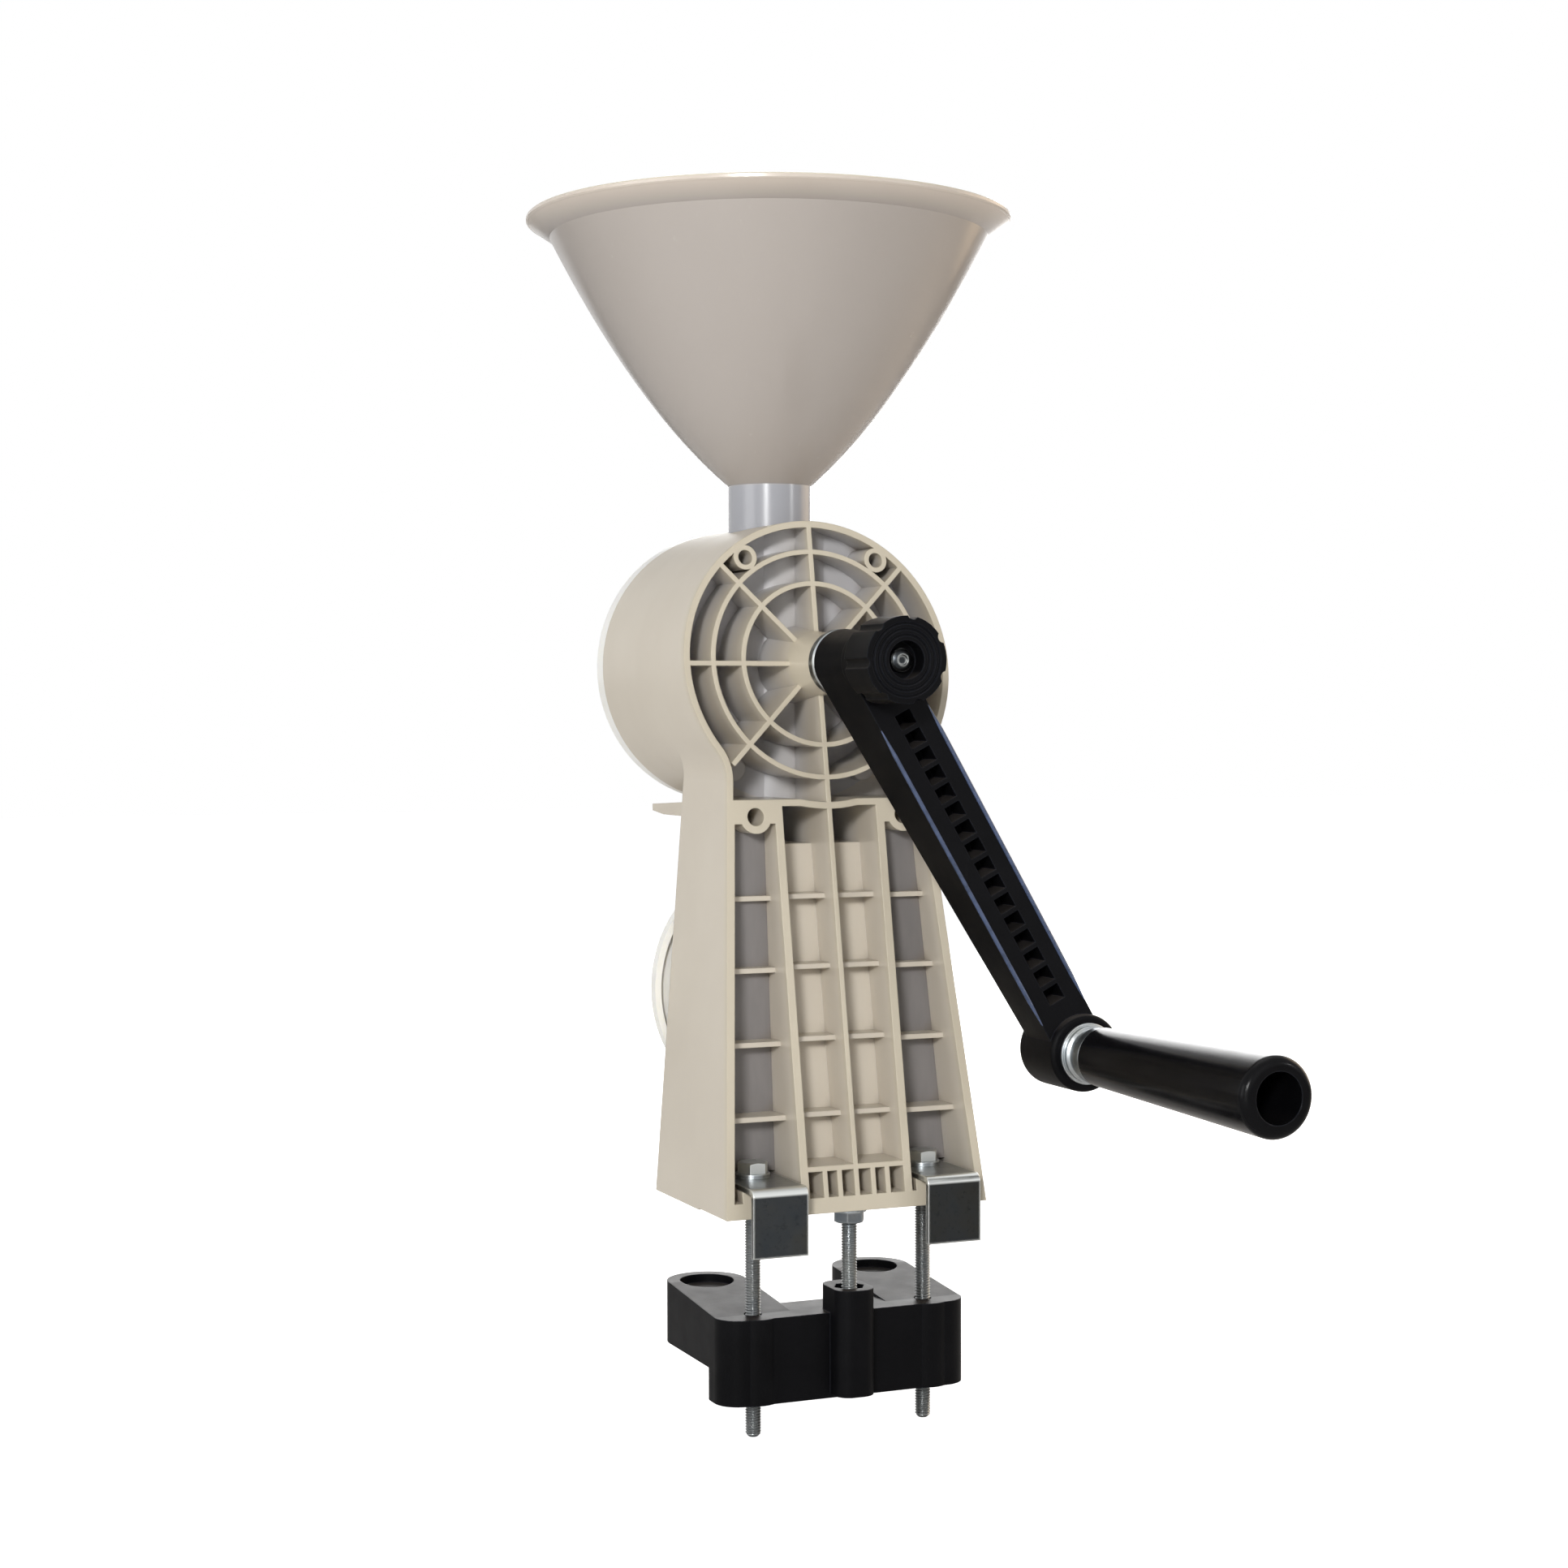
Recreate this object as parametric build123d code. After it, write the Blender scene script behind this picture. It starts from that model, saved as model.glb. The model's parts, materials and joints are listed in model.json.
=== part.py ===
from build123d import *

import os
from math import atan, cos, degrees, radians, sin, tan

# Hand crank peanut grinder: hopper, ribbed drum and foot, burrs, crank and table clamp.
# Millimetres, +Z up. X runs across, with +X to the right of a person at the crank, and +Y runs away from
# them. The origin is on the foot's underside, below the point where the crank axis meets the open back.

# ---------------------------------------------------------------- driving dimensions
# Moulded body: round drum on a tapering foot, with an open back that leans away at the top.
axis_z = 194.5
back_slope = 0.179
drum_r = 52.5
drum_wall = 2.4
drum_front_y = 88.0
drum_floor_y = 23.0
drum_floor_t = 3.0
foot_inset = 2.0
foot_taper = 0.0748
foot_front_y = 40.0
foot_wall = 3.0
foot_floor_t = 5.9
foot_corner_r = 5.0
sole_near_y = -8.0
sole_step = 0.5
waist_r = 16.0
rib_t = 1.8
ring_insets = (23.1, 11.4)
spoke_count = 8

# Cross wall between drum and foot, and the ribbed cells of the foot below it.
cross_wall_z = 145.6
cross_band_h = 8.6
web_x = 20.0
web_t = 3.0
side_rib_heights = (32.6, 58.5, 84.5, 110.0)
side_rib_recess = 10.0
middle_rib_heights = (33.5, 60.0, 85.5, 110.5)
middle_rib_recess = 8.0
channel_bottom_z = 15.8
channel_top_z = 129.0
channel_depth = 17.0
channel_wall = 2.5
slot_rib_gap = 5.6

# Screw bosses that show on the back: the upper ones on a circle inside the drum's edge.
upper_boss_inset = 6.05
upper_boss_turn = 56.0
upper_boss_r = 4.5
upper_boss_hole_r = 2.7
lower_boss_x = 29.0
lower_boss_z = 139.5
lower_boss_r = 6.0
lower_boss_hole_r = 3.2
lower_boss_depth = 22.0

# Crank bearing boss on the back of the drum.
hub_tip_y = -17.3
hub_tip_r = 9.5
hub_root_r = 15.0

# Feed tube inside the drum and the hopper that drops into it.
feed_y = 46.0
feed_tube_r = 26.0
feed_tube_wall = 3.0
socket_floor_z = 226.0
socket_floor_t = 2.0
neck_r = 15.6
neck_wall = 2.1
neck_clearance = 0.3
neck_top_z = 262.3
hopper_wall = 2.2
hopper_rim_z = 362.2
hopper_rim_r = 91.6
hopper_cone_r = 82.8
hopper_cone_z = 355.3
hopper_low_lean = 40.4
hopper_high_lean = 62.9
hopper_edge_t = 1.0
hopper_lip_w = 7.8
hopper_lip_rise = 1.6

# Burrs, front cover and fineness adjuster.
carrier_y = 66.0
carrier_t = 3.0
seat_ring_w = 2.4
bulk_clearance = 0.5
burr_room = 3.95
burr_t = 5.0
burr_gap = 0.6
burr_groove_w = 2.4
burr_groove_depth = 1.2
burr_groove_count = 12
burr_hub_r = 10.0
burr_hub_len = 7.4
burr_screw_inset = 5.0
burr_screw_turns = (-30, 30, 150, 210)
burr_screw_r = 2.0
burr_screw_head_r = 3.6
cover_depth = 8.0
cover_plate_t = 3.0
cover_boss_r = 11.0
cover_screw_r = 2.0
cover_screw_head_r = 3.8
cover_screw_head_t = 2.6
cover_screw_len = 18.0
cover_edge_r = 1.5
screw_tip_gap = 2.0
cross_slot_w = 0.8
cross_slot_depth = 0.7
adjuster_r = 4.0
adjuster_sleeve_r = 7.0
adjuster_knob_r = 17.0
adjuster_knob_t = 14.0
adjuster_knob_gap = 3.0
adjuster_knob_cap_t = 3.0
adjuster_lobes = 12

# Round cap on the front of the foot.
cap_r = 49.0
cap_z = 74.0
cap_depth = 5.6
cap_t = 2.4
cap_peg_x = 29.0
cap_peg_r = 3.0
cap_edge_r = 1.2

# Discharge lip under the front of the drum.
lip_half = 30.0
lip_tip_y = 94.0
lip_root_z = 143.8
lip_tip_z = 141.2
lip_tip_t = 2.6
lip_root_t = 6.4
outlet_half = 17.0
outlet_near_y = 70.5
outlet_wall = 2.4

# Drive shaft, auger and bush.
shaft_r = 5.0
shaft_square = 8.0
shaft_thread_r = 4.0
shaft_reach = 1.0
shaft_thread_reach = 3.0
bush_wall = 2.5
running_fit = 0.05
auger_root_r = 7.0
auger_r = 15.6
auger_bore_r = 16.2
auger_pitch = 18.0
auger_flight_t = 3.0
auger_end_gap = 1.0
drive_pin_r = 1.5
drive_pin_half = 8.5

# Crank arm, its knob and the grip, drawn hanging straight down and then swung. The arm leans outwards
# as it goes down, so that its end passes clear of the hopper's rim.
crank_angle = 27.0
arm_length = 154.1
arm_eye_y = -23.0
arm_eye_r = 12.0
arm_front_y = -48.0
arm_front_half = 10.4
arm_collar_r = 12.0
arm_collar_t = 7.3
arm_lean_out = 24.5
arm_tip_half = 9.4
arm_tip_t = 17.0
arm_end_r = 13.7
arm_end_t = 25.0
arm_end_proud = 1.0
arm_edge_r = 1.6
pocket_half = 3.2
pocket_depth = 10.0
pocket_pitch = 7.2
pocket_rib_t = 1.6
pocket_count = 16
pocket_start = 20.0
hub_washer_t = 4.4
hub_washer_r = 10.0
knob_r = 15.0
knob_t = 18.4
knob_gap = 0.3
knob_lobes = 7
knob_turn = 30.0
knob_notch_r = 2.2
knob_recess_r = 6.6
knob_recess_depth = 7.0
knob_step_radii = (12.9, 10.9, 8.9)
knob_step_depth = 0.6
knob_step_w = 0.9
grip_base_r = 10.3
grip_end_r = 13.3
grip_length = 108.2
grip_bore_r = 8.4
grip_web_t = 18.0
grip_end_fillet = 3.0
handle_bolt_r = 4.0
handle_head_r = 7.0
handle_head_t = 5.0
handle_key_flat = 6.0
handle_washer_r = 10.8
handle_washer_t = 1.6
handle_barrel_r = 9.9
handle_barrel_len = 10.0
handle_nut_flat = 13.0
handle_nut_t = 5.0
play = 0.3

# Clamp: two long bolts, a heel screw, two brackets and a forked block.
bolt_y = -17.0
bolt_r = 2.9
bolt_end_z = -80.5
hex_flat = 10.0
hex_head_t = 4.0
washer_r = 6.2
washer_t = 1.6
retainer_r = 4.4
retainer_t = 1.4
bolt_hole_r = 3.3
bracket_web_gap = 1.65
bracket_wall_gap = 3.65
bracket_t = 2.0
bracket_back_y = -43.0
bracket_near_y = -7.0
bracket_drop_z = -12.0
bracket_bend_r = 3.0
bracket_pad_h = 4.1
heel_y = -26.0
heel_head_t = 4.0
heel_washer_t = 1.4
heel_pilot_r = 2.5
heel_pilot_h = 4.5
heel_end_z = -62.0
block_back_y = -26.0
block_front_y = -4.0
block_top_z = -37.0
block_bottom_z = -67.5
block_corner_r = 9.0
rod_boss_r = 9.0
heel_boss_half = 7.4
heel_boss_back_y = -35.0
heel_boss_top_z = -28.0
heel_boss_bottom_z = -66.0
heel_boss_corner_r = 5.5
heel_nut_drop = 5.0
rod_boss_proud = 1.2
fork_end_y = 28.0
fork_end_r = 14.7
fork_top_z = -33.4
fork_h = 22.5
pad_recess_r = 10.0
pad_recess_depth = 3.0
nut_t = 5.0
fit = 0.1
over = 1.0

# ---------------------------------------------------------------- worked out from them
back_lean = degrees(atan(back_slope))
foot_half = drum_r - foot_inset
upper_boss_x = (drum_r - upper_boss_inset) * cos(radians(upper_boss_turn))
upper_boss_rise = (drum_r - upper_boss_inset) * sin(radians(upper_boss_turn))
burr_r = drum_r - upper_boss_inset - upper_boss_r - burr_room
burr_screw_ring_r = burr_r - burr_screw_inset
burr_y = carrier_y + carrier_t
moving_burr_y = burr_y + burr_t + burr_gap
cover_y = drum_front_y
cover_front_y = cover_y + cover_depth
moving_burr_back_y = moving_burr_y + burr_t
shaft_front_y = moving_burr_back_y + burr_hub_len + shaft_reach
bush_r = shaft_r + running_fit + bush_wall
arm_collar_y = arm_front_y - arm_collar_t
arm_end_front_y = arm_front_y - arm_lean_out - arm_end_proud
arm_end_back_y = arm_end_front_y + arm_end_t
grip_back_y = arm_end_front_y - handle_washer_t - handle_barrel_len - play
grip_front_y = grip_back_y - grip_length
bracket_z = foot_floor_t + bracket_pad_h
bracket_inner_x = web_x + web_t / 2 + bracket_web_gap
bracket_outer_x = foot_half - foot_wall - bracket_wall_gap
bolt_x = (bracket_inner_x + bracket_outer_x) / 2
block_half = bolt_x + fork_end_r
far = 400.0


def slab(outline, near, far_y):
    """Give an outline, drawn with X across and Z up, a depth from near to far_y along +Y."""
    front = Plane(origin=(0, far_y, 0), x_dir=(1, 0, 0), z_dir=(0, -1, 0))
    return extrude(front * outline, far_y - near)


def rod(radius, near, far_y, across=0.0, height=axis_z):
    """Cylinder that lies along Y."""
    return slab(Pos(across, height) * Circle(radius), near, far_y)


def post(radius, bottom, top, across=0.0, along=0.0):
    """Cylinder that stands along Z."""
    centre = Pos(across, along, bottom)
    return centre * Cylinder(radius, top - bottom, align=(Align.CENTER, Align.CENTER, Align.MIN))


def block(x_range, y_range, z_range):
    """Box between three pairs of limits."""
    low = (x_range[0], y_range[0], z_range[0])
    size = (x_range[1] - x_range[0], y_range[1] - y_range[0], z_range[1] - z_range[0])
    return Pos(*low) * Box(*size, align=(Align.MIN, Align.MIN, Align.MIN))


def rectangle(x_range, z_range):
    """Rectangle in X and Z between two pairs of limits."""
    centre = Pos((x_range[0] + x_range[1]) / 2, (z_range[0] + z_range[1]) / 2)
    return centre * Rectangle(x_range[1] - x_range[0], z_range[1] - z_range[0])


def prism(points, half):
    """Prism from -half to half across X, its outline given as points of Y and Z."""
    across = Plane(origin=(-half, 0, 0), x_dir=(0, 1, 0), z_dir=(1, 0, 0))
    return extrude(across * make_face(Polyline(*points, close=True)), 2 * half)


def hexagon_post(flat, bottom, top, across, along):
    """Hexagonal bar that stands along Z, given its size across flats."""
    outline = RegularPolygon(flat / 2, 6, major_radius=False)
    return Pos(across, along, bottom) * extrude(outline, top - bottom)


def back_y(height):
    """Y of the open back at a height."""
    return back_slope * (height - axis_z)


def behind_back(recess=0.0):
    """Everything on the crank side of the open back, moved into the body by recess."""
    plane = Plane(
        origin=(0, recess, axis_z),
        x_dir=(1, 0, 0),
        z_dir=(0, -cos(radians(back_lean)), sin(radians(back_lean))),
    )
    return extrude(plane * Rectangle(far, 2 * far), far / 2)


def foot_half_at(height):
    """Half width of the foot at a height."""
    return foot_half - foot_taper * height


def body_outline(inset):
    """Drum and foot seen from behind, moved inwards by inset, with a rounded waist."""
    foot = make_face(
        Polyline(
            (-foot_half + inset, 0),
            (foot_half - inset, 0),
            (foot_half_at(axis_z) - inset, axis_z),
            (-foot_half_at(axis_z) + inset, axis_z),
            close=True,
        )
    )
    whole = Pos(0, axis_z) * Circle(drum_r - inset) + foot
    waist = [v for v in whole.vertices() if 1 < v.Y < axis_z - 1]
    return fillet(waist, waist_r + inset)


# ---------------------------------------------------------------- moulded body


def above_cross_wall():
    """Region over the cross wall: flat at the sides, dipping round the drum in the middle."""
    flat = rectangle((-drum_r, drum_r), (cross_wall_z, axis_z + drum_r))
    return flat + Pos(0, axis_z) * Circle(drum_r - drum_wall)


def below_cross_wall():
    """Region under the cross wall and its screw boss bands."""
    low = foot_floor_t
    under = rectangle((-foot_half, foot_half), (low, cross_wall_z - drum_wall))
    under -= Pos(0, axis_z) * Circle(drum_r)
    for side in (-1, 1):
        edges = sorted((side * (web_x - web_t / 2), side * foot_half))
        under -= rectangle(edges, (cross_wall_z - cross_band_h, cross_wall_z))
    return under


def foot_cells():
    """Deep cells beside the webs, shallow cells between them, and the recess in the front face."""
    inner = body_outline(foot_wall) & below_cross_wall()
    deep_y = foot_front_y - foot_wall
    middle = rectangle((-web_x, web_x), (channel_bottom_z, channel_top_z))
    deep = slab(inner - middle, -far / 4, deep_y)
    shallow = slab(middle, -far / 4, deep_y) & behind_back(channel_depth)
    half = web_x - web_t / 2 - channel_wall
    heights = (channel_bottom_z + channel_wall, channel_top_z - channel_wall)
    recess = slab(rectangle((-half, half), heights), -far / 4, foot_front_y + over)
    return deep + shallow + (recess - behind_back(channel_depth + channel_wall))


def foot_webs():
    """Upright webs of the foot, and the short upright ribs that split its bottom cells."""
    top = cross_wall_z - drum_wall / 2
    low = foot_floor_t - over
    webs = [rectangle((-rib_t / 2, rib_t / 2), (low, top))]
    for side in (-1, 1):
        centre = side * web_x
        webs.append(rectangle((centre - web_t / 2, centre + web_t / 2), (low, top)))
        for step in (1, 2):
            at = side * (step * slot_rib_gap + rib_t / 2)
            webs.append(rectangle((at - rib_t / 2, at + rib_t / 2), (low, channel_bottom_z)))
    deep_y = foot_front_y - foot_wall / 2
    solid = [slab(web, -far / 4, deep_y) for web in webs]
    joined = solid[0].fuse(*solid[1:])
    centre = solid[0] & (behind_back(channel_depth + channel_wall / 2) + slab(recess_free(), -far, far))
    sides = joined - slab(rectangle((-rib_t, rib_t), (0, axis_z)), -far, far)
    return sides + centre


def recess_free():
    """Heights where the middle web of the foot runs to the front wall."""
    low = rectangle((-web_x, web_x), (0, channel_bottom_z + channel_wall / 2))
    high = rectangle((-web_x, web_x), (channel_top_z - channel_wall / 2, axis_z))
    return low + high


def foot_shelves():
    """Level ribs that cross the cells, set back from the open edge."""
    shelves = []
    deep_y = foot_front_y - foot_wall / 2
    for height in side_rib_heights:
        for side in (-1, 1):
            edges = sorted((side * web_x, side * (foot_half_at(height) - foot_wall / 2)))
            shelf = slab(rectangle(edges, (height - rib_t / 2, height + rib_t / 2)), -far / 4, deep_y)
            shelves.append(shelf - behind_back(side_rib_recess))
    floor = behind_back(channel_depth + channel_wall / 2)
    for height in (channel_bottom_z, *middle_rib_heights):
        edges = (-web_x, web_x)
        shelf = slab(rectangle(edges, (height - rib_t / 2, height + rib_t / 2)), -far / 4, deep_y)
        recess = 0 if height == channel_bottom_z else middle_rib_recess
        shelves.append((shelf - behind_back(recess)) & floor)
    return shelves


def drum_ribs():
    """Rings and spokes across the open back of the drum, down to its floor."""
    rings = Sketch()
    for inset in ring_insets:
        rings += Circle(drum_r - inset + rib_t / 2) - Circle(drum_r - inset - rib_t / 2)
    reach = drum_r - drum_wall / 2
    spokes = Sketch()
    for step in range(spoke_count // 2):
        spokes += Rot(0, 0, step * 360 / spoke_count) * Rectangle(2 * reach, rib_t)
    lattice = Pos(0, axis_z) * (rings + spokes)
    inside = body_outline(drum_wall / 2) & above_cross_wall()
    lower = rectangle((-rib_t / 2, rib_t / 2), (cross_wall_z - drum_wall, axis_z))
    return slab((lattice & inside) + lower, -far / 4, drum_floor_y + drum_floor_t / 2)


def front_chamber():
    """Hollow of the drum in front of its floor, open to the front."""
    return rod(drum_r - drum_wall, drum_floor_y + drum_floor_t, drum_front_y + over)


def feed_tube():
    """Upright tube inside the drum: hopper socket above, feed chamber below."""
    inside = rod(drum_r - drum_wall / 2, back_y(axis_z + drum_r), carrier_y)
    tube = post(feed_tube_r, axis_z - drum_r, axis_z + drum_r, 0, feed_y)
    return tube & inside


def feed_passages():
    """Socket for the hopper neck, the feed chamber under it and the bore round the auger."""
    chamber_r = feed_tube_r - feed_tube_wall
    passages = post(neck_r + neck_clearance, socket_floor_z, far, 0, feed_y)
    passages += post(neck_r - neck_wall, axis_z, far, 0, feed_y)
    chamber = post(chamber_r, axis_z, socket_floor_z - socket_floor_t, 0, feed_y)
    near = drum_floor_y + drum_floor_t
    passages += chamber & rod(drum_r, near, carrier_y - feed_tube_wall)
    return passages + rod(auger_bore_r, near, far)


def carrier_seat():
    """Ledge inside the drum that the burr carrier rests on."""
    near = carrier_y - seat_ring_w
    ring = rod(drum_r - drum_wall / 2, near, carrier_y)
    return ring - rod(drum_r - drum_wall - seat_ring_w, near - over, carrier_y + over)


def discharge_lip():
    """Sloping lip under the outlet, with a cheek each side up to the drum."""
    root_y = foot_front_y - foot_wall / 2
    side_view = (
        (root_y, lip_root_z),
        (lip_tip_y, lip_tip_z),
        (lip_tip_y, lip_tip_z - lip_tip_t),
        (drum_front_y - lip_root_t, lip_root_z - lip_root_t),
        (root_y, lip_root_z - lip_root_t),
    )
    lip = prism(side_view, lip_half)
    for side in (-1, 1):
        edges = sorted((side * outlet_half, side * (outlet_half + outlet_wall)))
        cheek = block(edges, (outlet_near_y - outlet_wall, drum_front_y), (lip_tip_z, axis_z))
        lip += cheek
    back = (-outlet_half - outlet_wall, outlet_half + outlet_wall)
    lip += block(back, (outlet_near_y - outlet_wall, outlet_near_y), (lip_tip_z, axis_z))
    return lip - rod(drum_r - drum_wall / 2, 0, far)


def outlet():
    """Opening that drops from the bottom of the drum down through the lip."""
    spread = (-outlet_half, outlet_half)
    depth = (outlet_near_y, drum_front_y - outlet_wall)
    return block(spread, depth, (0, axis_z - drum_r / 2))


def screw_boss_posts():
    """Bosses for the cover screws, and the pair under the drum."""
    posts = []
    for side in (-1, 1):
        for rise in (-upper_boss_rise, upper_boss_rise):
            height = axis_z + rise
            start = back_y(height) if rise > 0 else drum_floor_y
            posts.append(rod(upper_boss_r, start - upper_boss_r, cover_y, side * upper_boss_x, height))
        start = back_y(lower_boss_z) - lower_boss_r
        posts.append(rod(lower_boss_r, start, foot_front_y - foot_wall, side * lower_boss_x, lower_boss_z))
    return posts


def screw_boss_holes():
    """Holes down the screw bosses."""
    holes = []
    for side in (-1, 1):
        for rise in (-upper_boss_rise, upper_boss_rise):
            height = axis_z + rise
            start = -far / 4 if rise > 0 else cover_y - cover_screw_len
            holes.append(rod(upper_boss_hole_r, start, far, side * upper_boss_x, height))
        end = back_y(lower_boss_z) + lower_boss_depth
        holes.append(rod(lower_boss_hole_r, -far / 4, end, side * lower_boss_x, lower_boss_z))
    return holes


def burr_screw_places():
    """Places of the screws that hold the fixed burr and its carrier."""
    return [
        (burr_screw_ring_r * cos(radians(turn)), axis_z + burr_screw_ring_r * sin(radians(turn)))
        for turn in burr_screw_turns
    ]


def crank_hub():
    """Tapering boss that carries the crank bush."""
    depth = drum_floor_y + drum_floor_t - hub_tip_y
    turned = Cone(hub_root_r, hub_tip_r, depth, align=(Align.CENTER, Align.CENTER, Align.MIN))
    return Pos(0, drum_floor_y + drum_floor_t, axis_z) * Rot(90, 0, 0) * turned


def bracket_pads():
    """Raised pads on the foot's floor under the clamp brackets."""
    pads = []
    for side in (-1, 1):
        edges = sorted((side * bracket_inner_x, side * bracket_outer_x))
        pads.append(block(edges, (back_y(0), bracket_near_y), (foot_floor_t / 2, bracket_z)))
    return pads


def foot_holes():
    """Holes in the foot's floor for the clamp bolts and the heel screw's pilot."""
    holes = [post(bolt_hole_r, -over, bracket_z + over, side * bolt_x, bolt_y) for side in (-1, 1)]
    holes.append(post(heel_pilot_r + play, -over, sole_step + heel_pilot_h + play, 0, heel_y))
    return holes


def raised_sole():
    """Rear strip of the foot's underside, set up a little so that only the front strip rests on a table."""
    return block((-foot_half - over, foot_half + over), (-far, sole_near_y), (-over, sole_step))


def make_main_body():
    foot = slab(body_outline(0), -far / 4, foot_front_y)
    front_edges = foot.edges().group_by(Axis.Y)[-1].filter_by(lambda e: e.length < 2 * axis_z)
    corners = [e for e in front_edges if e.center().Z < axis_z - drum_r and abs(e.center().X) > web_x]
    foot = fillet(corners, foot_corner_r)
    body = foot + rod(drum_r, 0, drum_front_y)
    upper = body_outline(drum_wall) & above_cross_wall()
    body -= slab(upper, -far / 4, drum_floor_y)
    body -= foot_cells()
    body -= front_chamber()
    body = body.fuse(foot_webs(), *foot_shelves(), drum_ribs(), feed_tube(), carrier_seat())
    body = body.fuse(discharge_lip(), *screw_boss_posts(), *bracket_pads())
    for across, height in burr_screw_places():
        body += rod(upper_boss_r, drum_floor_y, carrier_y, across, height)
    body -= behind_back()
    body += crank_hub()
    body -= feed_passages()
    body -= outlet()
    body = body.cut(*screw_boss_holes(), *foot_holes(), raised_sole())
    for across, height in burr_screw_places():
        body -= rod(burr_screw_r + play, carrier_y - burr_t - carrier_t, far, across, height)
    body -= rod(bush_r + running_fit / 2, hub_tip_y - over, far)
    for side in (-1, 1):
        body -= rod(cap_peg_r + fit, foot_front_y - 2 * foot_wall, far, side * cap_peg_x, cap_z)
    return body


# ---------------------------------------------------------------- hopper, cover and cap


def hopper_curve(inset, start_r):
    """Flare of the hopper seen from the side, moved inwards by inset, from start_r up to the rim."""
    low = tan(radians(hopper_low_lean))
    high = tan(radians(hopper_high_lean))
    low_z = neck_top_z + inset / cos(radians(hopper_low_lean))
    high_z = hopper_cone_z + inset / cos(radians(hopper_high_lean))
    end_r = hopper_cone_r - inset
    bend_r = (high_z - low_z + low * neck_r - high * hopper_cone_r) / (low - high)
    start = (start_r, low_z + low * (start_r - neck_r))
    bend = (bend_r, low_z + low * (bend_r - neck_r))
    return Bezier(start, bend, (end_r, high_z + high * (end_r - hopper_cone_r)))


def make_hopper():
    """Round hopper with a flared brim, a curved cone and a neck that stands on the socket's ledge."""
    seat_z = socket_floor_z + fit
    outer = hopper_curve(0, neck_r)
    inner = hopper_curve(hopper_wall, neck_r - neck_wall)
    brim = (
        outer @ 1,
        (hopper_rim_r, hopper_rim_z - hopper_edge_t),
        (hopper_rim_r, hopper_rim_z),
        (hopper_rim_r - hopper_lip_w, hopper_rim_z + hopper_lip_rise),
        inner @ 1,
    )
    neck = (inner @ 0, (neck_r - neck_wall, seat_z), (neck_r, seat_z), outer @ 0)
    wall = make_face([outer, Polyline(*brim), inner, Polyline(*neck)])
    return Pos(0, feed_y, 0) * revolve(Plane.XZ * wall, Axis.Z)


def cover_screw_places():
    """Places of the four cover screws, in line with the drum's bosses."""
    return [
        (side * upper_boss_x, axis_z + rise)
        for side in (-1, 1)
        for rise in (-upper_boss_rise, upper_boss_rise)
    ]


def make_front_cover():
    """Round cover with a rim, a boss for the adjuster and recessed screw holes."""
    cover = rod(drum_r, cover_y, cover_front_y)
    cover -= rod(drum_r - drum_wall, cover_y - over, cover_front_y - cover_plate_t)
    cover += rod(cover_boss_r, cover_y + play, cover_front_y)
    for across, height in cover_screw_places():
        cover += rod(upper_boss_r, cover_y, cover_front_y, across, height) & rod(drum_r, 0, far)
    cover = fillet(cover.edges().filter_by(GeomType.CIRCLE).sort_by(Axis.Y)[-1:], cover_edge_r)
    for across, height in cover_screw_places():
        cover -= rod(cover_screw_r + play, cover_y - over, far, across, height)
        head_y = cover_front_y - cover_screw_head_t
        cover -= rod(cover_screw_head_r + play, head_y, far, across, height)
    return cover - rod(adjuster_sleeve_r, 0, far)


def screw_along_y(radius, head_radius, head_t, head_y, length):
    """Pan-head screw on the Y axis whose shank runs towards the crank side."""
    screw = rod(head_radius, head_y, head_y + head_t, 0, 0) + rod(radius, head_y - length, head_y, 0, 0)
    depth = 2 * cross_slot_depth
    cross = Box(head_radius, depth, cross_slot_w) + Box(cross_slot_w, depth, head_radius)
    return screw - Pos(0, head_y + head_t, 0) * cross


def make_cover_screws():
    head_y = cover_front_y - cover_screw_head_t
    length = cover_screw_len + cover_depth - cover_screw_head_t - screw_tip_gap
    screw = screw_along_y(cover_screw_r, cover_screw_head_r, cover_screw_head_t, head_y, length)
    return [Pos(across, 0, height) * screw for across, height in cover_screw_places()]


def make_adjuster_sleeve():
    """Threaded metal sleeve moulded into the cover."""
    sleeve = rod(adjuster_sleeve_r, cover_y + play, cover_front_y)
    return sleeve - rod(adjuster_r + running_fit, 0, far)


def make_adjusting_screw():
    """Screw that bears on the end of the drive shaft and carries the adjusting knob."""
    end = cover_front_y + adjuster_knob_gap + adjuster_knob_t - adjuster_knob_cap_t
    return rod(adjuster_r, shaft_front_y + fit, end)


def lobed_disc(radius, count, first_turn):
    """Disc with rounded notches round its edge, the first of them at first_turn from +X."""
    outline = Circle(radius)
    notch = Pos(radius + knob_notch_r / 2, 0) * Circle(knob_notch_r)
    for step in range(count):
        outline -= Rot(0, 0, first_turn + step * 360 / count) * notch
    return Pos(0, axis_z) * outline


def make_adjusting_knob():
    near = cover_front_y + adjuster_knob_gap
    end = near + adjuster_knob_t
    knob = slab(lobed_disc(adjuster_knob_r, adjuster_lobes, 0), near, end)
    return knob - rod(adjuster_r, near - over, end - adjuster_knob_cap_t)


def make_foot_cap():
    """Plain round cap that hides the recess in the front of the foot."""
    near = foot_front_y + fit
    cap = rod(cap_r, near, near + cap_depth, 0, cap_z)
    cap -= rod(cap_r - cap_t, near - over, near + cap_depth - cap_t, 0, cap_z)
    cap = fillet(cap.edges().filter_by(GeomType.CIRCLE).sort_by(Axis.Y)[-1:], cap_edge_r)
    for side in (-1, 1):
        start = foot_front_y - foot_wall
        cap += rod(cap_peg_r, start, near + cap_depth - cap_t, side * cap_peg_x, cap_z)
    return cap


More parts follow.
